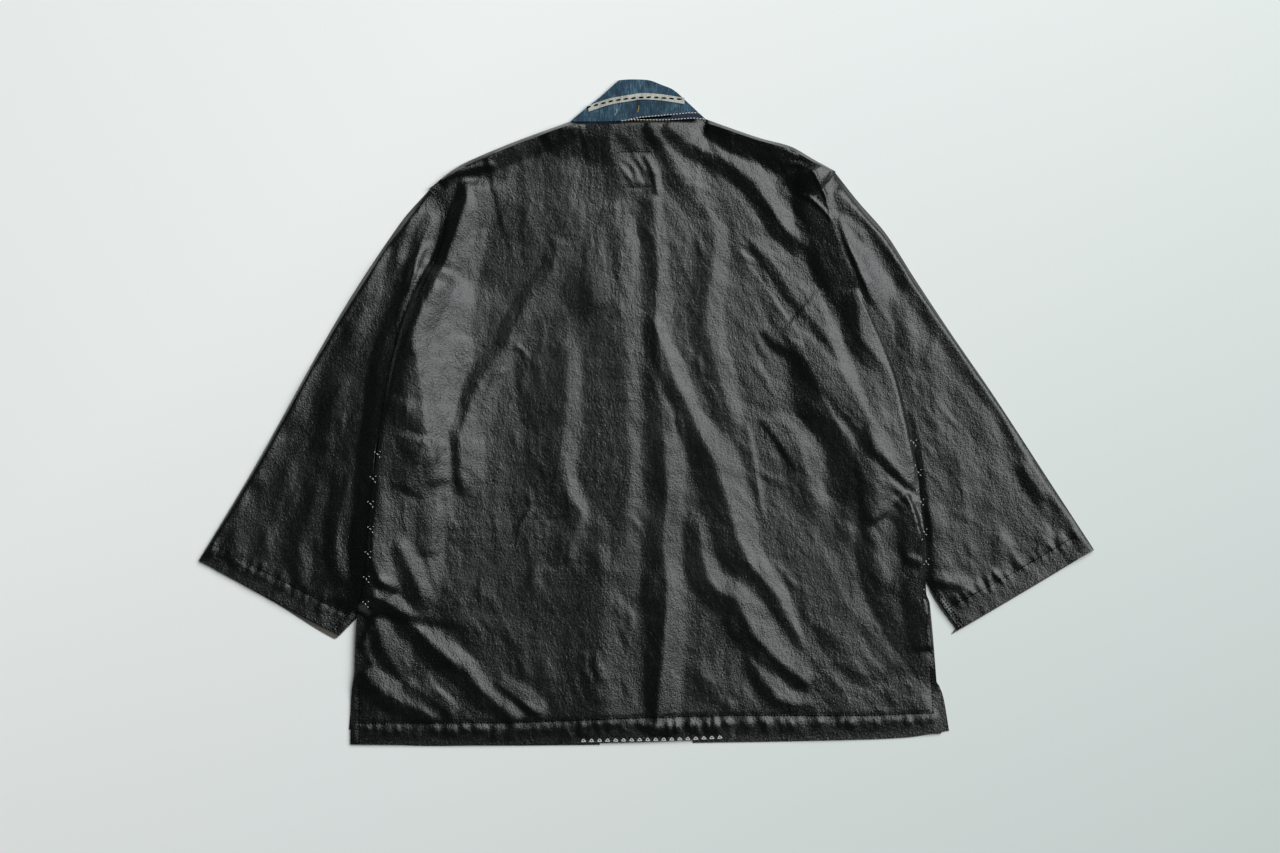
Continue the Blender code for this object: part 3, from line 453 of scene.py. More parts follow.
def noiseField(x, y, size, seed):
    cells = 64
    table = np.random.RandomState(seed).rand(cells, cells) * 2 - 1
    u, v = x / size + 31.7, y / size + 17.3  # off the table's corner, so that sizes don't line up in the middle
    i, j = np.floor(u).astype(int), np.floor(v).astype(int)
    fu, fv = smoothStep(u - i), smoothStep(v - j)
    i, j, nextI, nextJ = i % cells, j % cells, (i + 1) % cells, (j + 1) % cells
    lower = table[i, j] * (1 - fu) + table[nextI, j] * fu
    upper = table[i, nextJ] * (1 - fu) + table[nextI, nextJ] * fu
    return lower * (1 - fv) + upper * fv


def leanAt(x, y):
    # the angles of the table, each weighed by how near it is
    table = np.array(creaseLean, float)
    x, y = np.asarray(x)[..., None], np.asarray(y)[..., None]
    weight = 1 / ((x - table[:, 0]) ** 2 + (y - table[:, 1]) ** 2 + leanSpread**2) ** 1.5
    return (weight * table[:, 2]).sum(-1) / weight.sum(-1)


coarseStep = 4.0
coarseX, coarseY = rasterOf(coarseStep)
fineX, fineY = rasterOf(ripple["step"])
bentX, bentY = (
    places + ripple["bend"] * noiseField(fineX, fineY, ripple["bendSize"], seed)
    + ripple["fineBend"] * noiseField(fineX, fineY, ripple["fineBendSize"], seed + 1)
    for places, seed in ((fineX, 1), (fineY, 3))
)
leanRaster = leanAt(coarseX, coarseY)


def readRaster(values, points):
    step = coarseStep if values.shape == coarseX.shape else ripple["step"]
    u = np.clip((points[..., 0] - ripple["left"]) / step, 0, values.shape[1] - 1.001)
    v = np.clip((points[..., 1] - ripple["low"]) / step, 0, values.shape[0] - 1.001)
    i, j = v.astype(int), u.astype(int)
    fv, fu = v - i, u - j
    upper = values[i + 1, j] * (1 - fu) + values[i + 1, j + 1] * fu
    return (values[i, j] * (1 - fu) + values[i, j + 1] * fu) * (1 - fv) + upper * fv


def distanceRaster(path):
    best = np.full(coarseX.shape, 1e9)
    for start, end in zip(path, path[1:]):
        run = end - start
        t = np.clip(((coarseX - start[0]) * run[0] + (coarseY - start[1]) * run[1]) / (run @ run), 0, 1)
        best = np.minimum(best, (coarseX - start[0] - t * run[0]) ** 2 + (coarseY - start[1] - t * run[1]) ** 2)
    return np.sqrt(best)


def signedRaster(outline):
    # positive within the outline, negative outside
    inside = np.zeros(coarseX.shape, bool)
    for start, end in zip(outline, np.roll(outline, -1, axis=0)):
        if start[1] != end[1]:
            crosses = (start[1] > coarseY) != (end[1] > coarseY)
            at = start[0] + (coarseY - start[1]) / (end[1] - start[1]) * (end[0] - start[0])
            inside ^= crosses & (coarseX < at)
    distance = distanceRaster(np.vstack([outline, outline[:1]]))
    return np.where(inside, distance, -distance)


def addFold(heights, path, rise, west, east, crest=1.5, ends=20, detail=6, straight=False):
    curve = curveThrough(path, detail)
    count = len(curve)
    share, knots = np.linspace(0, 1, count), np.linspace(0, 1, len(path))
    riseAt, westAt, eastAt = (
        np.interp(share, knots, np.broadcast_to(np.asarray(value, float), len(path))) for value in (rise, west, east)
    )
    reach = ripple["boxReach"] * max(westAt.max(), eastAt.max()) + ripple["boxRim"]
    low, high, step = curve.min(0) - reach, curve.max(0) + reach, ripple["step"]
    box = tuple(
        slice(max(0, int((low[axis] - origin) / step)), max(0, int((high[axis] - origin) / step) + 1))
        for axis, origin in ((1, ripple["low"]), (0, ripple["left"]))
    )
    x, y = (fineX[box], fineY[box]) if straight else (bentX[box], bentY[box])
    if not x.size:
        return
    best = np.full(x.shape, 1e9)
    side, at = np.zeros(x.shape), np.zeros(x.shape)
    for i in range(count - 1):
        start, run = curve[i], curve[i + 1] - curve[i]
        t = np.clip(((x - start[0]) * run[0] + (y - start[1]) * run[1]) / (run @ run), 0, 1)
        dx, dy = x - start[0] - t * run[0], y - start[1] - t * run[1]
        squared = dx * dx + dy * dy
        nearer = squared < best
        best = np.where(nearer, squared, best)
        side = np.where(nearer, run[0] * dy - run[1] * dx, side)
        at = np.where(nearer, (i + t) / (count - 1), at)
    width = np.where(side > 0, np.interp(at, share, eastAt), np.interp(at, share, westAt))
    out = (np.sqrt(best + crest * crest) - crest) / width
    left, foot = 1 - out, ripple["foot"]
    profile = 0.5 * (left + np.sqrt(left * left + foot * foot))
    profile = profile * smoothStep((ripple["fadeFrom"] - out) / ripple["fadeOver"])
    length = lengthOf(curve)
    fade = smoothStep(at * length / ends) * smoothStep((1 - at) * length / ends)
    heights[box] += np.interp(at, share, riseAt) * profile * fade


def addCreases(heights, count, length, width, rise, seed):
    random = np.random.RandomState(seed)
    for _ in range(count):
        x = random.uniform(creaseShape["left"], creaseShape["right"])
        y = random.uniform(creaseShape["low"], creaseShape["high"])
        angle = np.radians(leanAt(x, y) + random.normal(0, creaseShape["lean"]))
        along = np.array([np.sin(angle), -np.cos(angle)]) * random.uniform(*length) / 2
        across = np.array([along[1], -along[0]]) * random.uniform(-creaseShape["bend"], creaseShape["bend"])
        centre = np.array([x, y])
        half = random.uniform(*width)
        lift = random.uniform(*rise)
        sides = half * random.uniform(*creaseShape["sides"], 2)
        addFold(heights, (centre - along, centre + across, centre + along), lift, *sides,
                crest=half * creaseShape["crest"], ends=np.linalg.norm(along) * creaseShape["ends"], detail=2)


def crumple(size, stretch, seed):
    # creased cloth: cells longer along the lean, from three fixed directions that fade into each other
    total = np.zeros(fineX.shape)
    lean = readRaster(leanRaster, np.stack([fineX, fineY], axis=-1)) / leanTurn
    for number, (angle, centre) in enumerate(leanWays):
        turn = np.radians(angle)
        across = bentX * np.cos(turn) + bentY * np.sin(turn)
        along = (bentX * np.sin(turn) - bentY * np.cos(turn)) / stretch
        near = np.clip(1 - np.abs(np.clip(lean, -1, 1) - centre), 0, 1)
        total += near * (np.abs(noiseField(across, along, size, seed + number)) - crumpleMean)
    return total


def addPuckers(heights, line, spacing, above, below, rise, width, sway, seed):
    # short folds across a seam, uneven in length and height
    random = np.random.RandomState(seed)
    stops = stretchCurve(line, max(2, int(lengthOf(curveThrough(line)) / spacing)))
    along = np.gradient(stops, axis=0)
    along /= np.linalg.norm(along, axis=1)[:, None]
    for place, run in zip(stops, along):
        place = place + run * random.uniform(-pucker["shift"], pucker["shift"]) * spacing
        out = np.array([-run[1], run[0]]) + run * random.uniform(-sway, sway)
        up = out * above * random.uniform(*pucker["above"])
        down = out * below * random.uniform(*pucker["below"])
        bend = run * random.uniform(-pucker["bend"], pucker["bend"]) * below
        lift = rise * random.uniform(*pucker["lift"])
        half = width * random.uniform(*pucker["half"])
        ends = max(pucker["shortest"], below * pucker["ends"])
        addFold(heights, (place + up, place - down * 0.5 + bend, place - down), lift, half, half * pucker["eastSide"],
                pucker["crest"], ends, detail=2, straight=True)


print("relief: listed folds")
sharedRelief, backRelief, sleeveRelief, creaseRelief, seamRelief = (np.zeros(fineX.shape) for _ in range(5))
for relief, folds in ((sharedRelief, sharedFolds), (backRelief, backFolds), (sleeveRelief, sleeveFolds)):
    for path, *shape in folds:
        addFold(relief, np.reshape(path, (-1, 2)), *shape)
print("relief: small creases")
for creases in creaseSets:
    addCreases(creaseRelief, **creases)
creaseRelief += ripple["wave"] * noiseField(fineX, fineY, ripple["waveSize"], ripple["waveSeed"])
creaseRelief += sum(height * crumple(*shape) for height, *shape in crumples)
print("relief: seams and puckers")
for name, (depth, *reaches) in seamGrooves.items():
    addFold(seamRelief, seamLines[name], -depth, *reaches, **groove, straight=True)
for name, shift, *shape in seamPuckers:
    addPuckers(seamRelief, movedBy(seamLines[name], y=shift), *shape)

print("distances to edges and layers")
backInside = signedRaster(outlineOf(
    shoulders["left"], neckline, shoulders["right"], armholes["right"], sideSeams["right"], vents["right"],
    backHem[::-1], vents["left"][::-1], sideSeams["left"][::-1], armholes["left"][::-1],
))
hemDistance = distanceRaster(curveThrough(backHem, edgeDetail))
armholeDistance, cuffDistance = (
    np.minimum(*(distanceRaster(curveThrough(lines[side], edgeDetail)) for side in ("left", "right")))
    for lines in (armholes, {side: outline["cuff"] for side, outline in sleeveOutlines.items()})
)
tuckInside = {}
for side, edge in (("left", -420), ("right", 420)):
    inner = curveThrough(sleeveOutlines[side]["inner"], edgeDetail)
    tuckInside[side] = signedRaster(np.vstack([inner, [[edge, inner[-1, 1]], [edge, inner[0, 1]]]]))


def backLower(points):
    # lower face of the back: what it rests on, the air under it, and its folds
    rim = np.maximum(readRaster(backInside, points), 0)
    tuck = np.maximum(-np.maximum(*(readRaster(tuckInside[side], points) for side in ("left", "right"))), 0)
    hem = readRaster(hemDistance, points)
    floor = layers["backOnFront"]
    heights = (
        (layers["backOnBand"], 1 - comeDown(rim, layers["rimStep"])),
        (layers["backOnBand"], np.abs(points[..., 0]) < layers["bandReach"]),
        (layers["backOnSleeve"], comeDown(readRaster(armholeDistance, points), layers["armholeStep"])),
        (layers["backOnTuck"], comeDown(tuck, layers["backStep"])),
    )
    air = np.minimum(smoothStep(rim / backPanel["billowReach"]), smoothStep(hem / backPanel["hemReach"]))
    creases = readRaster(creaseRelief, points) + backPanel["creaseLift"]
    lift = (
        backPanel["billow"] * air
        + readRaster(sharedRelief, points)
        + readRaster(backRelief, points) * smoothStep(backPanel["foldStart"] + rim / backPanel["foldReach"])
        + creases * smoothStep(rim / backPanel["creaseReach"])
        + backPanel["hemStep"] * comeDown(hem, backPanel["hemTurn"])
        + readRaster(seamRelief, points) * smoothStep(backPanel["seamStart"] + rim / backPanel["seamReach"])
    )
    return np.max([floor + (height - floor) * share for height, share in heights], axis=0) + np.maximum(lift, 0)


def backTop(points):
    return backLower(points) + cloth["wall"]


def frontLower(points, side):
    tuck = np.maximum(-readRaster(tuckInside[side], points), 0)
    return (layers["frontOnSleeve"] + readRaster(sharedRelief, points)) * comeDown(tuck, layers["frontStep"])


def sleeveTop(points):
    clear = np.maximum(-readRaster(backInside, points), 0)
    own = readRaster(sleeveRelief, points) * smoothStep(clear / sleevePanel["clearReach"])
    small = (
        (readRaster(creaseRelief, points) + sleevePanel["creaseLift"]) * smoothStep(clear / sleevePanel["creaseReach"])
        + sleevePanel["cuffStep"] * comeDown(readRaster(cuffDistance, points), sleevePanel["cuffTurn"])
        + readRaster(seamRelief, points) * smoothStep(clear / sleevePanel["seamReach"])
    )
    return sleevePanel["top"] + readRaster(sharedRelief, points) + own + small


def shellFaces(rows, columns, ring=False):
    index = np.arange(rows * columns).reshape(rows, columns)
    if ring:
        index = np.hstack([index, index[:, :1]])
    return np.stack((index[:-1, :-1], index[1:, :-1], index[1:, 1:], index[:-1, 1:]), axis=2).reshape(-1, 4)


def placed(name, data):
    obj = bpy.data.objects.new(name, data)
    bpy.context.scene.collection.objects.link(obj)
    return obj


def meshObject(name, points, faces, *materials):
    points = np.asarray(points).reshape(-1, 3)
    mesh = bpy.data.meshes.new(name)
    mesh.from_pydata((points * mm).tolist(), [], [list(face) for face in faces])
    mesh.shade_smooth()
    mesh.set_sharp_from_angle(angle=np.radians(cloth["sharpFrom"]))
    for material in materials:
        mesh.materials.append(material)
    lean = mesh.attributes.new("lean", "FLOAT", "POINT")
    lean.data.foreach_set("value", readRaster(leanRaster, points[:, :2]) / leanTurn)
    return placed(name, mesh)


def plainMesh(obj):
    # bakes the modifiers, so that a sheet's cut edges stay crisp, and sets what would dip on the surface
    graph = bpy.context.evaluated_depsgraph_get()
    mesh = bpy.data.meshes.new_from_object(obj.evaluated_get(graph), preserve_all_data_layers=True, depsgraph=graph)
    obj.modifiers.clear()
    obj.data = mesh
    places = np.empty(len(mesh.vertices) * 3)
    mesh.vertices.foreach_get("co", places)
    places[2::3] = np.maximum(places[2::3], 0)
    mesh.vertices.foreach_set("co", places)
    mesh.set_sharp_from_angle(angle=np.radians(cloth["sharpFrom"]))
    return obj


def thickened(obj, wall, offset):
    thicken = obj.modifiers.new("cloth wall", "SOLIDIFY")
    thicken.thickness, thicken.offset = wall * mm, offset
    thicken.material_offset = len(obj.data.materials) - 1  # the inside takes the last material
    return plainMesh(obj)


def sheetObject(name, grid, lower, wall, material):
    points = np.concatenate([grid, lower[..., None]], axis=2)
    return thickened(meshObject(name, points, shellFaces(*lower.shape), material), wall, 1)


def closedShell(name, grid, top, wall, coarse, material):
    # a fine upper face and a coarse lower one, joined all round
    rows, columns = top.shape
    upper = np.concatenate([grid, top[..., None]], axis=2).reshape(-1, 3)
    padded = np.pad(top, coarse, mode="edge")
    near = np.lib.stride_tricks.sliding_window_view(padded, (2 * coarse + 1, 2 * coarse + 1))
    under = np.minimum(near.min(axis=(2, 3)), top) - wall
    rim = np.zeros(top.shape, bool)
    rim[[0, -1]] = rim[:, [0, -1]] = True
    under[rim] = (top - wall)[rim]
    kept = rim.copy()
    kept[::coarse, ::coarse] = True
    number = np.full(top.shape, -1)
    number[kept] = np.arange(kept.sum()) + rows * columns
    below = np.concatenate([grid, under[..., None]], axis=2)[kept]
    faces = shellFaces(rows, columns).tolist()

    def around(i, j, down, across):
        # the points round a box of cells, down its left side first
        return ([(i + k, j) for k in range(down)] + [(i + down, j + k) for k in range(across)]
                + [(i + down - k, j + across) for k in range(down)] + [(i, j + across - k) for k in range(across)])

    for i in range(0, rows - 1, coarse):
        for j in range(0, columns - 1, coarse):
            faces.append([number[p] for p in around(i, j, coarse, coarse) if number[p] >= 0][::-1])
    ring = around(0, 0, rows - 1, columns - 1)
    for a, b in zip(ring, ring[1:] + ring[:1]):
        faces.append([a[0] * columns + a[1], number[a], number[b], b[0] * columns + b[1]])
    return meshObject(name, np.vstack([upper, below]), faces, material)


# Materials
def nodeGroup(name, inputs, outputs):
    group = bpy.data.node_groups.new(name, "ShaderNodeTree")
    for label, kind, value in inputs:
        socket = group.interface.new_socket(name=label, in_out="INPUT", socket_type=kind)
        if value is not None:
            socket.default_value = value
    for label in outputs:
        group.interface.new_socket(name=label, in_out="OUTPUT", socket_type="NodeSocketFloat")
    return group, group.nodes.new("NodeGroupInput"), group.nodes.new("NodeGroupOutput")


def mathNode(tree, operation, a, b=None, clamp=False):
    node = tree.nodes.new("ShaderNodeMath")
    node.operation = operation
    node.use_clamp = clamp
    for socket, value in zip(node.inputs, (a, b)):
        if isinstance(value, (int, float)):
            socket.default_value = value
        elif value is not None:
            tree.links.new(value, socket)
    return node.outputs[0]


def plus(tree, a, b):
    return mathNode(tree, "ADD", a, b)


def minus(tree, a, b):
    return mathNode(tree, "SUBTRACT", a, b)


def times(tree, a, b):
    return mathNode(tree, "MULTIPLY", a, b)


def shared(tree, a, shareA, b, shareB):
    return plus(tree, times(tree, a, shareA), times(tree, b, shareB))


def noiseNode(tree, vector, scale, detail=2, roughness=0.5):
    node = tree.nodes.new("ShaderNodeTexNoise")
    tree.links.new(vector, node.inputs["Vector"])
    for label, value in (("Scale", scale), ("Detail", detail), ("Roughness", roughness)):
        node.inputs[label].default_value = value
    return node.outputs["Fac"]


def turned(tree, vector, angle, scale):
    node = tree.nodes.new("ShaderNodeMapping")
    tree.links.new(vector, node.inputs["Vector"])
    node.inputs["Rotation"].default_value = (0, 0, np.radians(angle))
    node.inputs["Scale"].default_value = scale
    return node.outputs[0]


def splitNode(tree, vector):
    node = tree.nodes.new("ShaderNodeSeparateXYZ")
    tree.links.new(vector, node.inputs[0])
    return node.outputs


def crinkleGroup():
    # fine creases in three fixed directions, mixed by the lean attribute, and the grain between them
    group, source, result = nodeGroup(
        "crinkle", [("Vector", "NodeSocketVector", None), ("Lean", "NodeSocketFloat", 0.0)], ["Height", "Speckle"]
    )
    vector, lean = source.outputs["Vector"], source.outputs["Lean"]
    total = None
    for angle, centre in leanWays:
        away = mathNode(group, "ABSOLUTE", minus(group, lean, centre))
        near = mathNode(group, "SUBTRACT", 1.0, away, clamp=True)
        for scale, weight in coating["creases"]:
            value = noiseNode(group, turned(group, vector, -angle, scale), 1.0, 2, 0.55)
            ridges = mathNode(group, "ABSOLUTE", minus(group, value, 0.5))
            part = times(group, times(group, ridges, weight), near)
            total = part if total is None else plus(group, total, part)
    grain = noiseNode(group, vector, coating["grain"], 2, 0.65)
    group.links.new(plus(group, total, times(group, grain, coating["grainShare"])), result.inputs["Height"])
    group.links.new(noiseNode(group, vector, coating["speckle"], 2, 0.7), result.inputs["Speckle"])
    return group


def weaveGroup():
    # twill: diagonal ribs crossed by the weft
    group, source, result = nodeGroup(
        "twill weave", [("Vector", "NodeSocketVector", None), ("Threads", "NodeSocketFloat", 900.0)], ["Height"]
    )
    x, y, _ = splitNode(group, source.outputs["Vector"])
    ribs, weft = (
        mathNode(group, "SINE", times(group, place, times(group, source.outputs["Threads"], turns)))
        for place, turns in ((plus(group, x, y), twill["ribs"]), (y, twill["weft"]))
    )
    group.links.new(shared(group, ribs, twill["ribsShare"], weft, twill["weftShare"]), result.inputs[0])
    return group


crinkle, weave = crinkleGroup(), weaveGroup()


def newMaterial(name, settings):
    material = bpy.data.materials.new(name)
    material.use_nodes = True
    tree = material.node_tree
    shader = tree.nodes["Principled BSDF"]
    for label, value in settings.items():
        shader.inputs[label].default_value = value
    return material, tree, shader, tree.nodes.new("ShaderNodeTexCoord").outputs["Object"]


def groupNode(tree, group, coordinates):
    node = tree.nodes.new("ShaderNodeGroup")
    node.node_tree = group
    tree.links.new(coordinates, node.inputs["Vector"])
    return node


def colourBy(tree, shader, value, *stops):
    ramp = tree.nodes.new("ShaderNodeValToRGB")
    tree.links.new(value, ramp.inputs[0])
    while len(ramp.color_ramp.elements) < len(stops):
        ramp.color_ramp.elements.new(0.5)
    for element, (position, colour) in zip(ramp.color_ramp.elements, stops):
        element.position = position
        element.color = (*colour, 1)
    tree.links.new(ramp.outputs[0], shader.inputs["Base Color"])


def bumpBy(tree, shader, height, distance):
    bump = tree.nodes.new("ShaderNodeBump")
    bump.inputs["Distance"].default_value = distance
    bump.inputs["Strength"].default_value = 1.0
    tree.links.new(height, bump.inputs["Height"])
    tree.links.new(bump.outputs[0], shader.inputs["Normal"])


def coatedCotton(name, dark, light, roughness, sheen, bump):
    material, tree, shader, coordinates = newMaterial(name, {"Specular IOR Level": sheen})
    creases = groupNode(tree, crinkle, coordinates)
    lean = tree.nodes.new("ShaderNodeAttribute")
    lean.attribute_name = "lean"
    tree.links.new(lean.outputs["Fac"], creases.inputs["Lean"])
    height, speckle = creases.outputs
    patches = noiseNode(tree, coordinates, coating["patches"], 4, 0.6)
    mixed = shared(tree, speckle, 0.5, patches, 0.5)
    colourBy(tree, shader, mixed, (coating["darkest"], dark), (coating["lightest"], light))
    rough = plus(tree, times(tree, speckle, coating["roughSpeckle"]), roughness - coating["roughMiddle"])
    rough = plus(tree, times(tree, patches, coating["roughPatches"]), rough)
    tree.links.new(rough, shader.inputs["Roughness"])
    bumpBy(tree, shader, height, bump)
    return material


def wovenMaterial(name, dark, light, worn, threads):
    settings = {"Roughness": twill["roughness"], "Sheen Weight": twill["sheen"]}
    material, tree, shader, coordinates = newMaterial(name, settings)
    ribs = groupNode(tree, weave, coordinates)
    ribs.inputs["Threads"].default_value = threads
    slubs = noiseNode(tree, turned(tree, coordinates, 0, twill["slubs"]), 1.0, 3, 0.65)
    patches = noiseNode(tree, coordinates, twill["patches"], 4, 0.6)
    mixed = shared(tree, slubs, twill["slubsShare"], patches, twill["patchesShare"])
    colourBy(tree, shader, mixed, *zip(twill["stops"], (dark, light, worn)))
    bumpBy(tree, shader, plus(tree, ribs.outputs[0], times(tree, mixed, twill["bumpFade"])), twill["bump"])
    return material


def threadMaterial(name, colour, roughness=0.6, shine=0.1):
    settings = {"Roughness": roughness, "Specular IOR Level": shine}
    material, tree, shader, coordinates = newMaterial(name, settings)
    strands = noiseNode(tree, coordinates, 1500, 2, 0.6)
    colourBy(tree, shader, strands, (0.35, tuple(part * 0.6 for part in colour)), (0.6, colour))
    bumpBy(tree, shader, strands, 0.0002)
    return material


print("materials")
outerCotton = coatedCotton(
    "coated cotton", (0.0012, 0.0015, 0.0012), (0.0034, 0.0040, 0.0033), roughness=0.31, sheen=0.62, bump=0.0013
)
innerCotton = coatedCotton(
    "uncoated cotton", (0.05, 0.042, 0.036), (0.12, 0.105, 0.092), roughness=0.8, sheen=0.3, bump=0.0010
)
indigoDenim, darkDenim, ecruTape = (
    wovenMaterial(name, *colours, threads) for name, *colours, threads in (
        ("faded indigo denim", (0.002, 0.010, 0.024), (0.016, 0.056, 0.096), (0.11, 0.20, 0.26), 620),
        ("dark indigo denim", (0.003, 0.006, 0.022), (0.008, 0.016, 0.05), (0.03, 0.05, 0.11), 620),
        ("woven tape", (0.30, 0.29, 0.25), (0.55, 0.54, 0.49), (0.72, 0.71, 0.67), 1100),
    )
)
blackThread = threadMaterial("black thread", (0.0015, 0.0015, 0.0015), roughness=0.9, shine=0)
whiteThread = threadMaterial("white thread", (0.62, 0.62, 0.58))
ecruThread = threadMaterial("ecru thread", (0.66, 0.61, 0.54))
yellowThread = threadMaterial("yellow thread", (0.6, 0.42, 0.06))


def settle(obj, slot, *replaced):
    if replaced:
        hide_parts(*replaced)
    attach(obj, "root")
    return obj


print("back panel")
backGrid = patchGrid(
    joinedEdge((shoulders["left"], neckline, shoulders["right"]), backPanel["across"]),
    stretchCurve(backHem, backPanel["across"]),
    *(joinedEdge((armholes[side], sideSeams[side], vents[side]), backPanel["down"]) for side in inward),
)
backShell = closedShell("back_cloth", backGrid, backTop(backGrid), cloth["wall"], backPanel["coarse"], outerCotton)
settle(backShell, "coated_cotton", "back")

print("front panels")
for side, turn in inward.items():
    inset, down = turn * frontPanel["inset"], frontPanel["down"]
    top = stretchCurve(frontShoulders[side], frontPanel["across"])
    bottom = stretchCurve(frontHems[side], frontPanel["across"])
    outer = joinedEdge((movedBy(armholes[side], inset), movedBy(sideSeams[side], inset), frontVents[side]), down)
    outer[0] = top[0 if side == "left" else -1]
    grid = patchGrid(top, bottom, *(outer, stretchCurve(bandSeams[side], down))[::turn])
    shell = sheetObject(f"front_{side}_cloth", grid, frontLower(grid, side), cloth["wall"], outerCotton)
    settle(shell, "coated_cotton", f"front_{side}")

print("sleeves")


def pulledIn(rows):
    # a layer of a sleeve whose two long edges are drawn in a little, so that the fold there is round
    rows = rows.copy()
    for column, nextColumn in ((0, 1), (-1, -2)):
        along = np.gradient(rows[:, column], axis=0)
        square = np.column_stack([-along[:, 1], along[:, 0]]) / np.linalg.norm(along, axis=1)[:, None]
        room = (square * (rows[:, nextColumn] - rows[:, column])).sum(1)[:, None]
        step = np.minimum(sleevePanel["edgeRound"], sleevePanel["edgeLimit"] * np.abs(room))
        rows[:, column] += square * np.sign(room) * step
    return rows


for side, turn in inward.items():
    outline, armhole = sleeveOutlines[side], armholes[side]
    aboveFoot = np.array([y - armhole[-1][1] for x, y in armhole])
    underlap = sleevePanel["underlap"] * (1 - comeDown(aboveFoot, sleevePanel["underlapStep"])) - cloth["gap"]
    upperArmhole = tuple((x + turn * reach, y) for (x, y), reach in zip(armhole, underlap))
    outerEdge = stretchCurve(outline["outer"], sleevePanel["down"])
    innerEdge = stretchCurve(outline["inner"], sleevePanel["down"], 2)
    upper, lower = (
        patchGrid(*(stretchCurve(edge, sleevePanel["across"]) for edge in edges), outerEdge, innerEdge,
                  sleevePanel["evening"])
        for edges in ((upperArmhole, outline["cuff"]), (movedBy(armhole, -turn * cloth["gap"]), outline["cuffUnder"]))
    )
    across = np.linspace(0, 1, sleevePanel["across"] + 1)[None, :]
    cells = np.minimum(across, 1 - across) * sleevePanel["across"]
    half = sleevePanel["top"] / 2
    rounded = smoothStep(sleevePanel["edgeStart"] + cells / sleevePanel["edgeCells"])
    upperHeight = half + (sleeveTop(upper) - half) * rounded
    middle = (upper + lower) / 2
    edgeHeight = np.full((sleevePanel["down"] + 1, 1), half)
    ring = np.concatenate([middle[:, :1], pulledIn(upper), middle[:, -1:], pulledIn(lower)[:, ::-1]], axis=1)
    heights = np.concatenate([edgeHeight, upperHeight, edgeHeight, np.zeros(lower.shape[:2])], axis=1)
    points = np.concatenate([ring[:, ::turn], heights[:, ::turn, None]], axis=2)
    tube = meshObject(f"sleeve_{side}_cloth", points, shellFaces(*heights.shape, True), outerCotton, innerCotton)
    settle(thickened(tube, cloth["wall"], -1), "coated_cotton", f"sleeve_{side}")

print("collar")
collarInside = signedRaster(outlineOf(collarLeft, collarTop, collarRight[::-1], collarFoot[::-1]))


def collarLower(points):
    within = np.maximum(readRaster(collarInside, points), 0)
    wave, ease = backCollar["wave"], smoothStep(within / backCollar["waveReach"])
    waves = wave * noiseField(points[..., 0], points[..., 1], backCollar["waveSize"], backCollar["waveSeed"]) * ease
    crown = backCollar["crown"] * smoothStep(within / backCollar["crownReach"])
    return backCollar["rest"] + crown + waves + wave / 2 * ease


across, down = backCollar["across"], backCollar["down"]
grid = patchGrid(stretchCurve(collarTop, across), stretchCurve(collarFoot, across),
                 stretchCurve(collarLeft, down)[::-1], stretchCurve(collarRight, down)[::-1])
collarBack = sheetObject("collar_back_cloth", grid, collarLower(grid), backCollar["wall"], indigoDenim)
settle(collarBack, "denim", "collar_back")
across, down = bandCollar["across"], bandCollar["down"]
for side, turn in inward.items():
    # the band ends a little above the hem, as the hem is turned over it
    seamLine = (*bandSeams[side][:-1], (bandSeams[side][-1][0], bandCollar["foot"]))
    edges = (stretchCurve(movedBy(seamLine, turn * bandCollar["inset"]), down), stretchCurve(bandEdges[side], down))
    grid = patchGrid(*(stretchCurve([edge[end] for edge in edges[::turn]], across) for end in (0, -1)), *edges[::turn])
    shell = sheetObject(f"collar_{side}_cloth", grid, np.zeros(grid.shape[:2]), bandCollar["wall"], indigoDenim)
    settle(shell, "denim", f"collar_{side}")
halfTape = collarStrips["tapeWidth"] / 2
for name, upperLine, lowerLine, material, slot in (
    ("collar_tape", movedBy(tapeLine, y=halfTape), movedBy(tapeLine, y=-halfTape), ecruTape, "tape"),
    ("collar_stand", standTop, standFoot, darkDenim, "dark_denim"),
):
    edges = [stretchCurve(line, collarStrips["across"]) for line in (upperLine, lowerLine)]
    grid = patchGrid(*edges, *(stretchCurve([edge[end] for edge in edges], collarStrips["down"]) for end in (0, -1)))
    lower = collarLower(grid) + backCollar["wall"] + cloth["gap"]
    settle(sheetObject(f"{name}_cloth", grid, lower, collarStrips["wall"], material), slot, name)

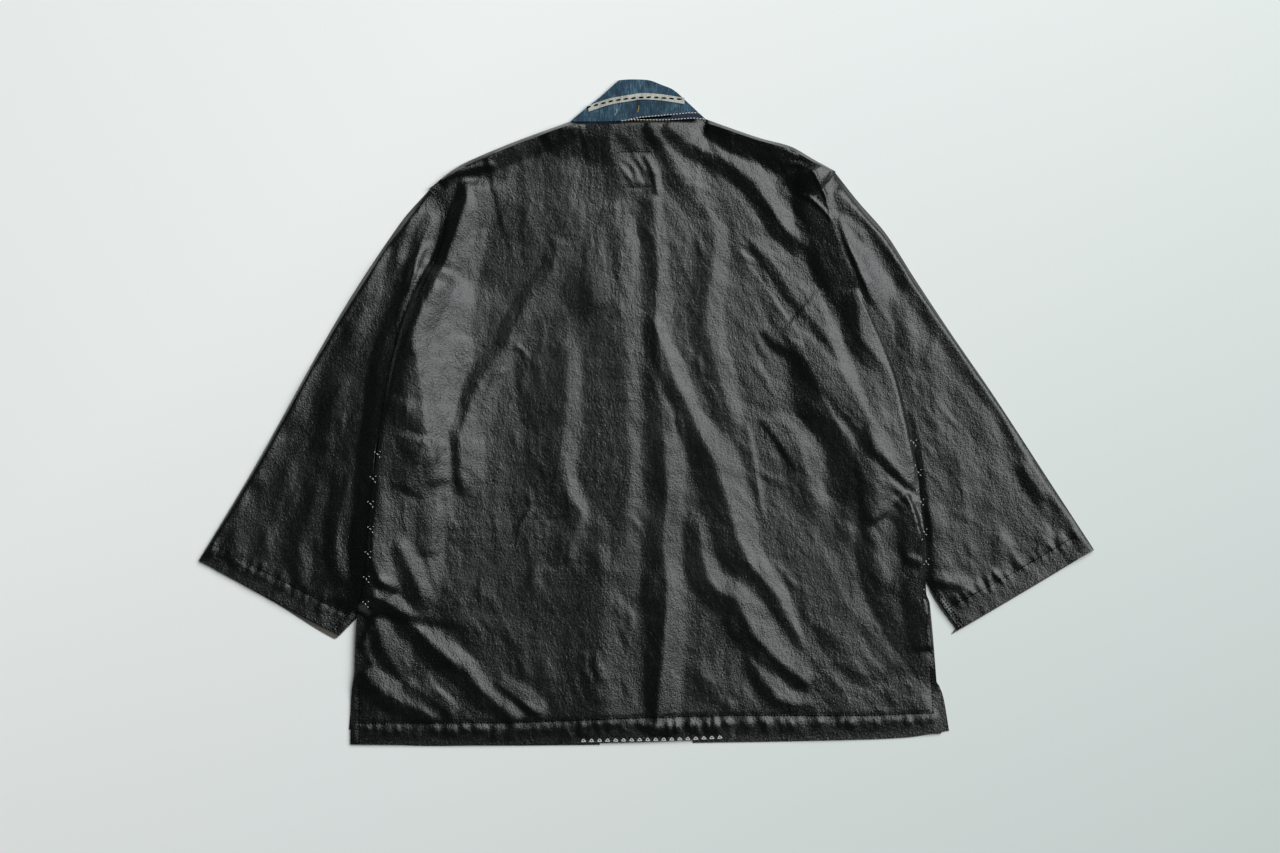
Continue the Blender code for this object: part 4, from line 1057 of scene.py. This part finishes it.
print("stitches")
def stitchTree():
    # one tree for every row: a thread at each step along the row's line
    tree = bpy.data.node_groups.new("stitch row", "GeometryNodeTree")
    face = tree.interface
    face.new_socket(name="Geometry", in_out="INPUT", socket_type="NodeSocketGeometry")
    for label, kind, value in (
        ("Pitch", "NodeSocketFloat", 0.003), ("Width", "NodeSocketFloat", 0.0005),
        ("Height", "NodeSocketFloat", 0.0004), ("Sway", "NodeSocketFloat", 0.08), ("Seed", "NodeSocketInt", 1),
        ("Thread", "NodeSocketMaterial", None),
    ):
        socket = face.new_socket(name=label, in_out="INPUT", socket_type=kind)
        if value is not None:
            socket.default_value = value
    face.new_socket(name="Geometry", in_out="OUTPUT", socket_type="NodeSocketGeometry")
    source, result = tree.nodes.new("NodeGroupInput"), tree.nodes.new("NodeGroupOutput")

    def add(kind, **sockets):
        node = tree.nodes.new(kind)
        for label, value in sockets.items():
            socket = node.inputs[label.replace("_", " ")]
            if isinstance(value, bpy.types.NodeSocket):
                tree.links.new(value, socket)
            else:
                socket.default_value = value
        return node

    def named(label):
        node = add("GeometryNodeInputNamedAttribute", Name=label)
        node.data_type = "FLOAT"
        return node.outputs["Attribute"]

    line = add("GeometryNodeMeshToCurve", Mesh=source.outputs["Geometry"])
    steps = tree.nodes.new("GeometryNodeResampleCurve")
    steps.mode = "LENGTH"
    tree.links.new(line.outputs["Curve"], steps.inputs["Curve"])
    tree.links.new(source.outputs["Pitch"], steps.inputs["Length"])
    thread = add("GeometryNodeMeshUVSphere", Segments=8, Rings=4, Radius=0.5)
    along = add("FunctionNodeAlignRotationToVector", Vector=add("GeometryNodeInputTangent").outputs[0])
    along.axis = "X"
    sway = add("FunctionNodeRandomValue", Seed=source.outputs["Seed"])
    sway.data_type = "FLOAT"
    tree.links.new(mathNode(tree, "MULTIPLY", source.outputs["Sway"], -1.0), sway.inputs[2])
    tree.links.new(source.outputs["Sway"], sway.inputs[3])
    turn = add("ShaderNodeCombineXYZ", Z=mathNode(tree, "ADD", named("turn"), sway.outputs[1]))
    turned = tree.nodes.new("FunctionNodeRotateRotation")
    turned.rotation_space = "LOCAL"
    tree.links.new(along.outputs[0], turned.inputs[0])
    tree.links.new(turn.outputs[0], turned.inputs[1])
    size = add("ShaderNodeCombineXYZ", X=named("length"), Y=source.outputs["Width"], Z=source.outputs["Height"])
    rows = add("GeometryNodeInstanceOnPoints", Points=steps.outputs[0], Instance=thread.outputs["Mesh"],
               Rotation=turned.outputs[0], Scale=size.outputs[0])
    whole = add("GeometryNodeRealizeInstances", Geometry=rows.outputs[0])
    shown = add("GeometryNodeSetMaterial", Geometry=whole.outputs[0], Material=source.outputs["Thread"])
    tree.links.new(shown.outputs[0], result.inputs[0])
    return tree


stitchRow = stitchTree()


def sewRows(name, kind, host, thread, slot, rows):
    # rows: line, stitch length, turn in degrees
    look = stitchLooks[kind]
    points, edges, lengths, turns = [], [], [], []
    for line, length, turn in rows:
        cells = max(2, int(lengthOf(curveThrough(line)) / sewing["cell"]))
        flat = stretchCurve(line, cells)
        first = len(points)
        height = host(flat) + sewing["bed"] * look["height"] + sewing["clear"]
        points += np.column_stack([flat, height]).tolist()
        edges += [(first + i, first + i + 1) for i in range(cells)]
        lengths += [length * mm] * (cells + 1)
        turns += [np.radians(turn)] * (cells + 1)
    mesh = bpy.data.meshes.new(name)
    mesh.from_pydata((np.array(points) * mm).tolist(), edges, [])
    for label, values in (("length", lengths), ("turn", turns)):
        mesh.attributes.new(label, "FLOAT", "POINT").data.foreach_set("value", values)
    obj = placed(name, mesh)
    sewn = obj.modifiers.new("stitches", "NODES")
    sewn.node_group = stitchRow
    values = dict(Pitch=look["pitch"] * mm, Width=look["width"] * mm, Height=look["height"] * mm, Sway=look["sway"],
                  Seed=look["seed"], Thread=thread)
    for item in stitchRow.interface.items_tree:
        if item.name in values:
            sewn[item.identifier] = values[item.name]
    plainMesh(obj).data.shade_smooth()
    return settle(obj, slot)


def onDenim(flat):
    return collarLower(flat) + backCollar["wall"]


def onStrip(flat):
    return onDenim(flat) + cloth["gap"] + collarStrips["wall"]


def crosses(line):
    # each cross is a few short stitches of a thick thread
    return [(movedBy(line, x=x, y=y), length, turn) for x, y, length, turn in (
        (0, 0, 3, 38), (-3.2, 2.4, 2, -50), (2.6, -3.4, 2.2, 24), (3.2, 3, 1.4, 60))]


def peaks(line):
    return [(movedBy(line, x=-1.4), 4.6, 52), (movedBy(line, x=1.4), 4.6, -52), (movedBy(line, y=-1.5), 6, 0)]


def cuffSeam(side, step):
    # one row round the cuff, two along the seam under the arm
    underarm = seamLines["underarm" + side.title()]
    lines = (seamLines["cuff" + side.title()], underarm, movedBy(underarm, x=step, y=2))
    rows = [(line, 2.7, 0) for line in lines]
    return sewRows(f"sleeve_{side}_seam", "seams", sleeveTop, blackThread, "coated_cotton", rows)


backSeams = [
    (seamLines[name], 2.7, 0) for name in ("hem", "ventLeft", "ventRight", "armholeLeft", "labelTop", "labelFoot")
]
backCrosses = crosses(seamLines["crossesLeft"]) + crosses(seamLines["crossesRight"])
standSeams = [(seamLines["standTop"], 2.6, 0), (seamLines["standFoot"], 2.8, 0)]
# painted shadow: a row of black stitches laid under the stand's upper seam, where there is only the shade of the gap
standShadow = [(movedBy(seamLines["standTop"][:5], y=-1.7), 4.5, 0)]
sewn = dict(
    back=[
        sewRows("back_seams", "seams", backTop, blackThread, "coated_cotton", backSeams),
        sewRows("back_crosses", "crosses", backTop, whiteThread, "tape", backCrosses),
        sewRows("back_peaks", "peaks", backTop, whiteThread, "tape", peaks(seamLines["hemPeaks"])),
    ],
    sleeve_left=[cuffSeam("left", -2.6)],
    sleeve_right=[cuffSeam("right", 2.6)],
    tape=[sewRows("tape_dashes", "dashes", onStrip, blackThread, "coated_cotton", [(seamLines["tapeDashes"], 6, 0)])],
    stand=[
        sewRows("stand_seams", "stand", onStrip, ecruThread, "tape", standSeams),
        sewRows("stand_shadow", "standShadow", onStrip, blackThread, "dark_denim", standShadow),
    ],
    collar=[
        sewRows("collar_white_end", "whiteEnd", onDenim, whiteThread, "tape", [(seamLines["whiteEnd"], 2.2, 0)]),
        sewRows("collar_yellow_end", "yellowEnd", onDenim, yellowThread, "tape", [(seamLines["yellowEnd"], 2.6, 0)]),
    ],
)

print("surface, light and camera")
paper, paperTree, paperShader, paperPlaces = newMaterial(
    "pale paper", {"Roughness": 0.9, "Specular IOR Level": 0.1}
)
# painted shade: the paper's colour darkens towards the lower right
paperX, paperY, _ = splitNode(paperTree, paperPlaces)
shadeSlope = shared(paperTree, paperX, surface["shadeSlope"][0], paperY, surface["shadeSlope"][1])
fibres = times(paperTree, noiseNode(paperTree, paperPlaces, 300, 2, 0.6), surface["fibres"])
shade = plus(paperTree, plus(paperTree, shadeSlope, surface["start"]), fibres)
colourBy(paperTree, paperShader, shade, (0.0, surface["light"]), (1.0, surface["dark"]))
reach = surface["reach"]
corners = [(x, y, surface["level"]) for x, y in ((-reach, -reach), (reach, -reach), (reach, reach), (-reach, reach))]
floorMesh = bpy.data.meshes.new("surface")
floorMesh.from_pydata(corners, [], [(0, 1, 2, 3)])
floorMesh.materials.append(paper)
floor = placed("surface", floorMesh)

world = bpy.data.worlds.new("studio")
world.use_nodes = True
sky = world.node_tree.nodes["Background"]
sky.inputs[0].default_value = (0.86, 0.94, 1.0, 1)
sky.inputs[1].default_value = window["sky"]
bpy.context.scene.world = world
lamp = bpy.data.lights.new("window", "AREA")
lamp.shape = "RECTANGLE"
lamp.size, lamp.size_y = window["width"], window["tall"]
lamp.energy = window["watts"]
lamp.color = (0.95, 1.0, 0.995)
lampObject = placed("window", lamp)
azimuth, height = np.radians(window["azimuth"]), np.radians(window["height"])
towards = Vector((np.cos(azimuth) * np.cos(height), np.sin(azimuth) * np.cos(height), np.sin(height)))
place = towards * window["distance"]
lampObject.location = place
lampObject.rotation_euler = (-place).to_track_quat("-Z", "Y").to_euler()

camera = bpy.data.cameras.new("camera")
camera.lens, camera.sensor_width = view["lens"], view["film"]
cameraObject = placed("camera", camera)
cameraObject.location = view["place"]
bpy.context.scene.camera = cameraObject
bpy.context.scene.view_settings.view_transform = "Standard"
bpy.context.scene.view_settings.look = "None"
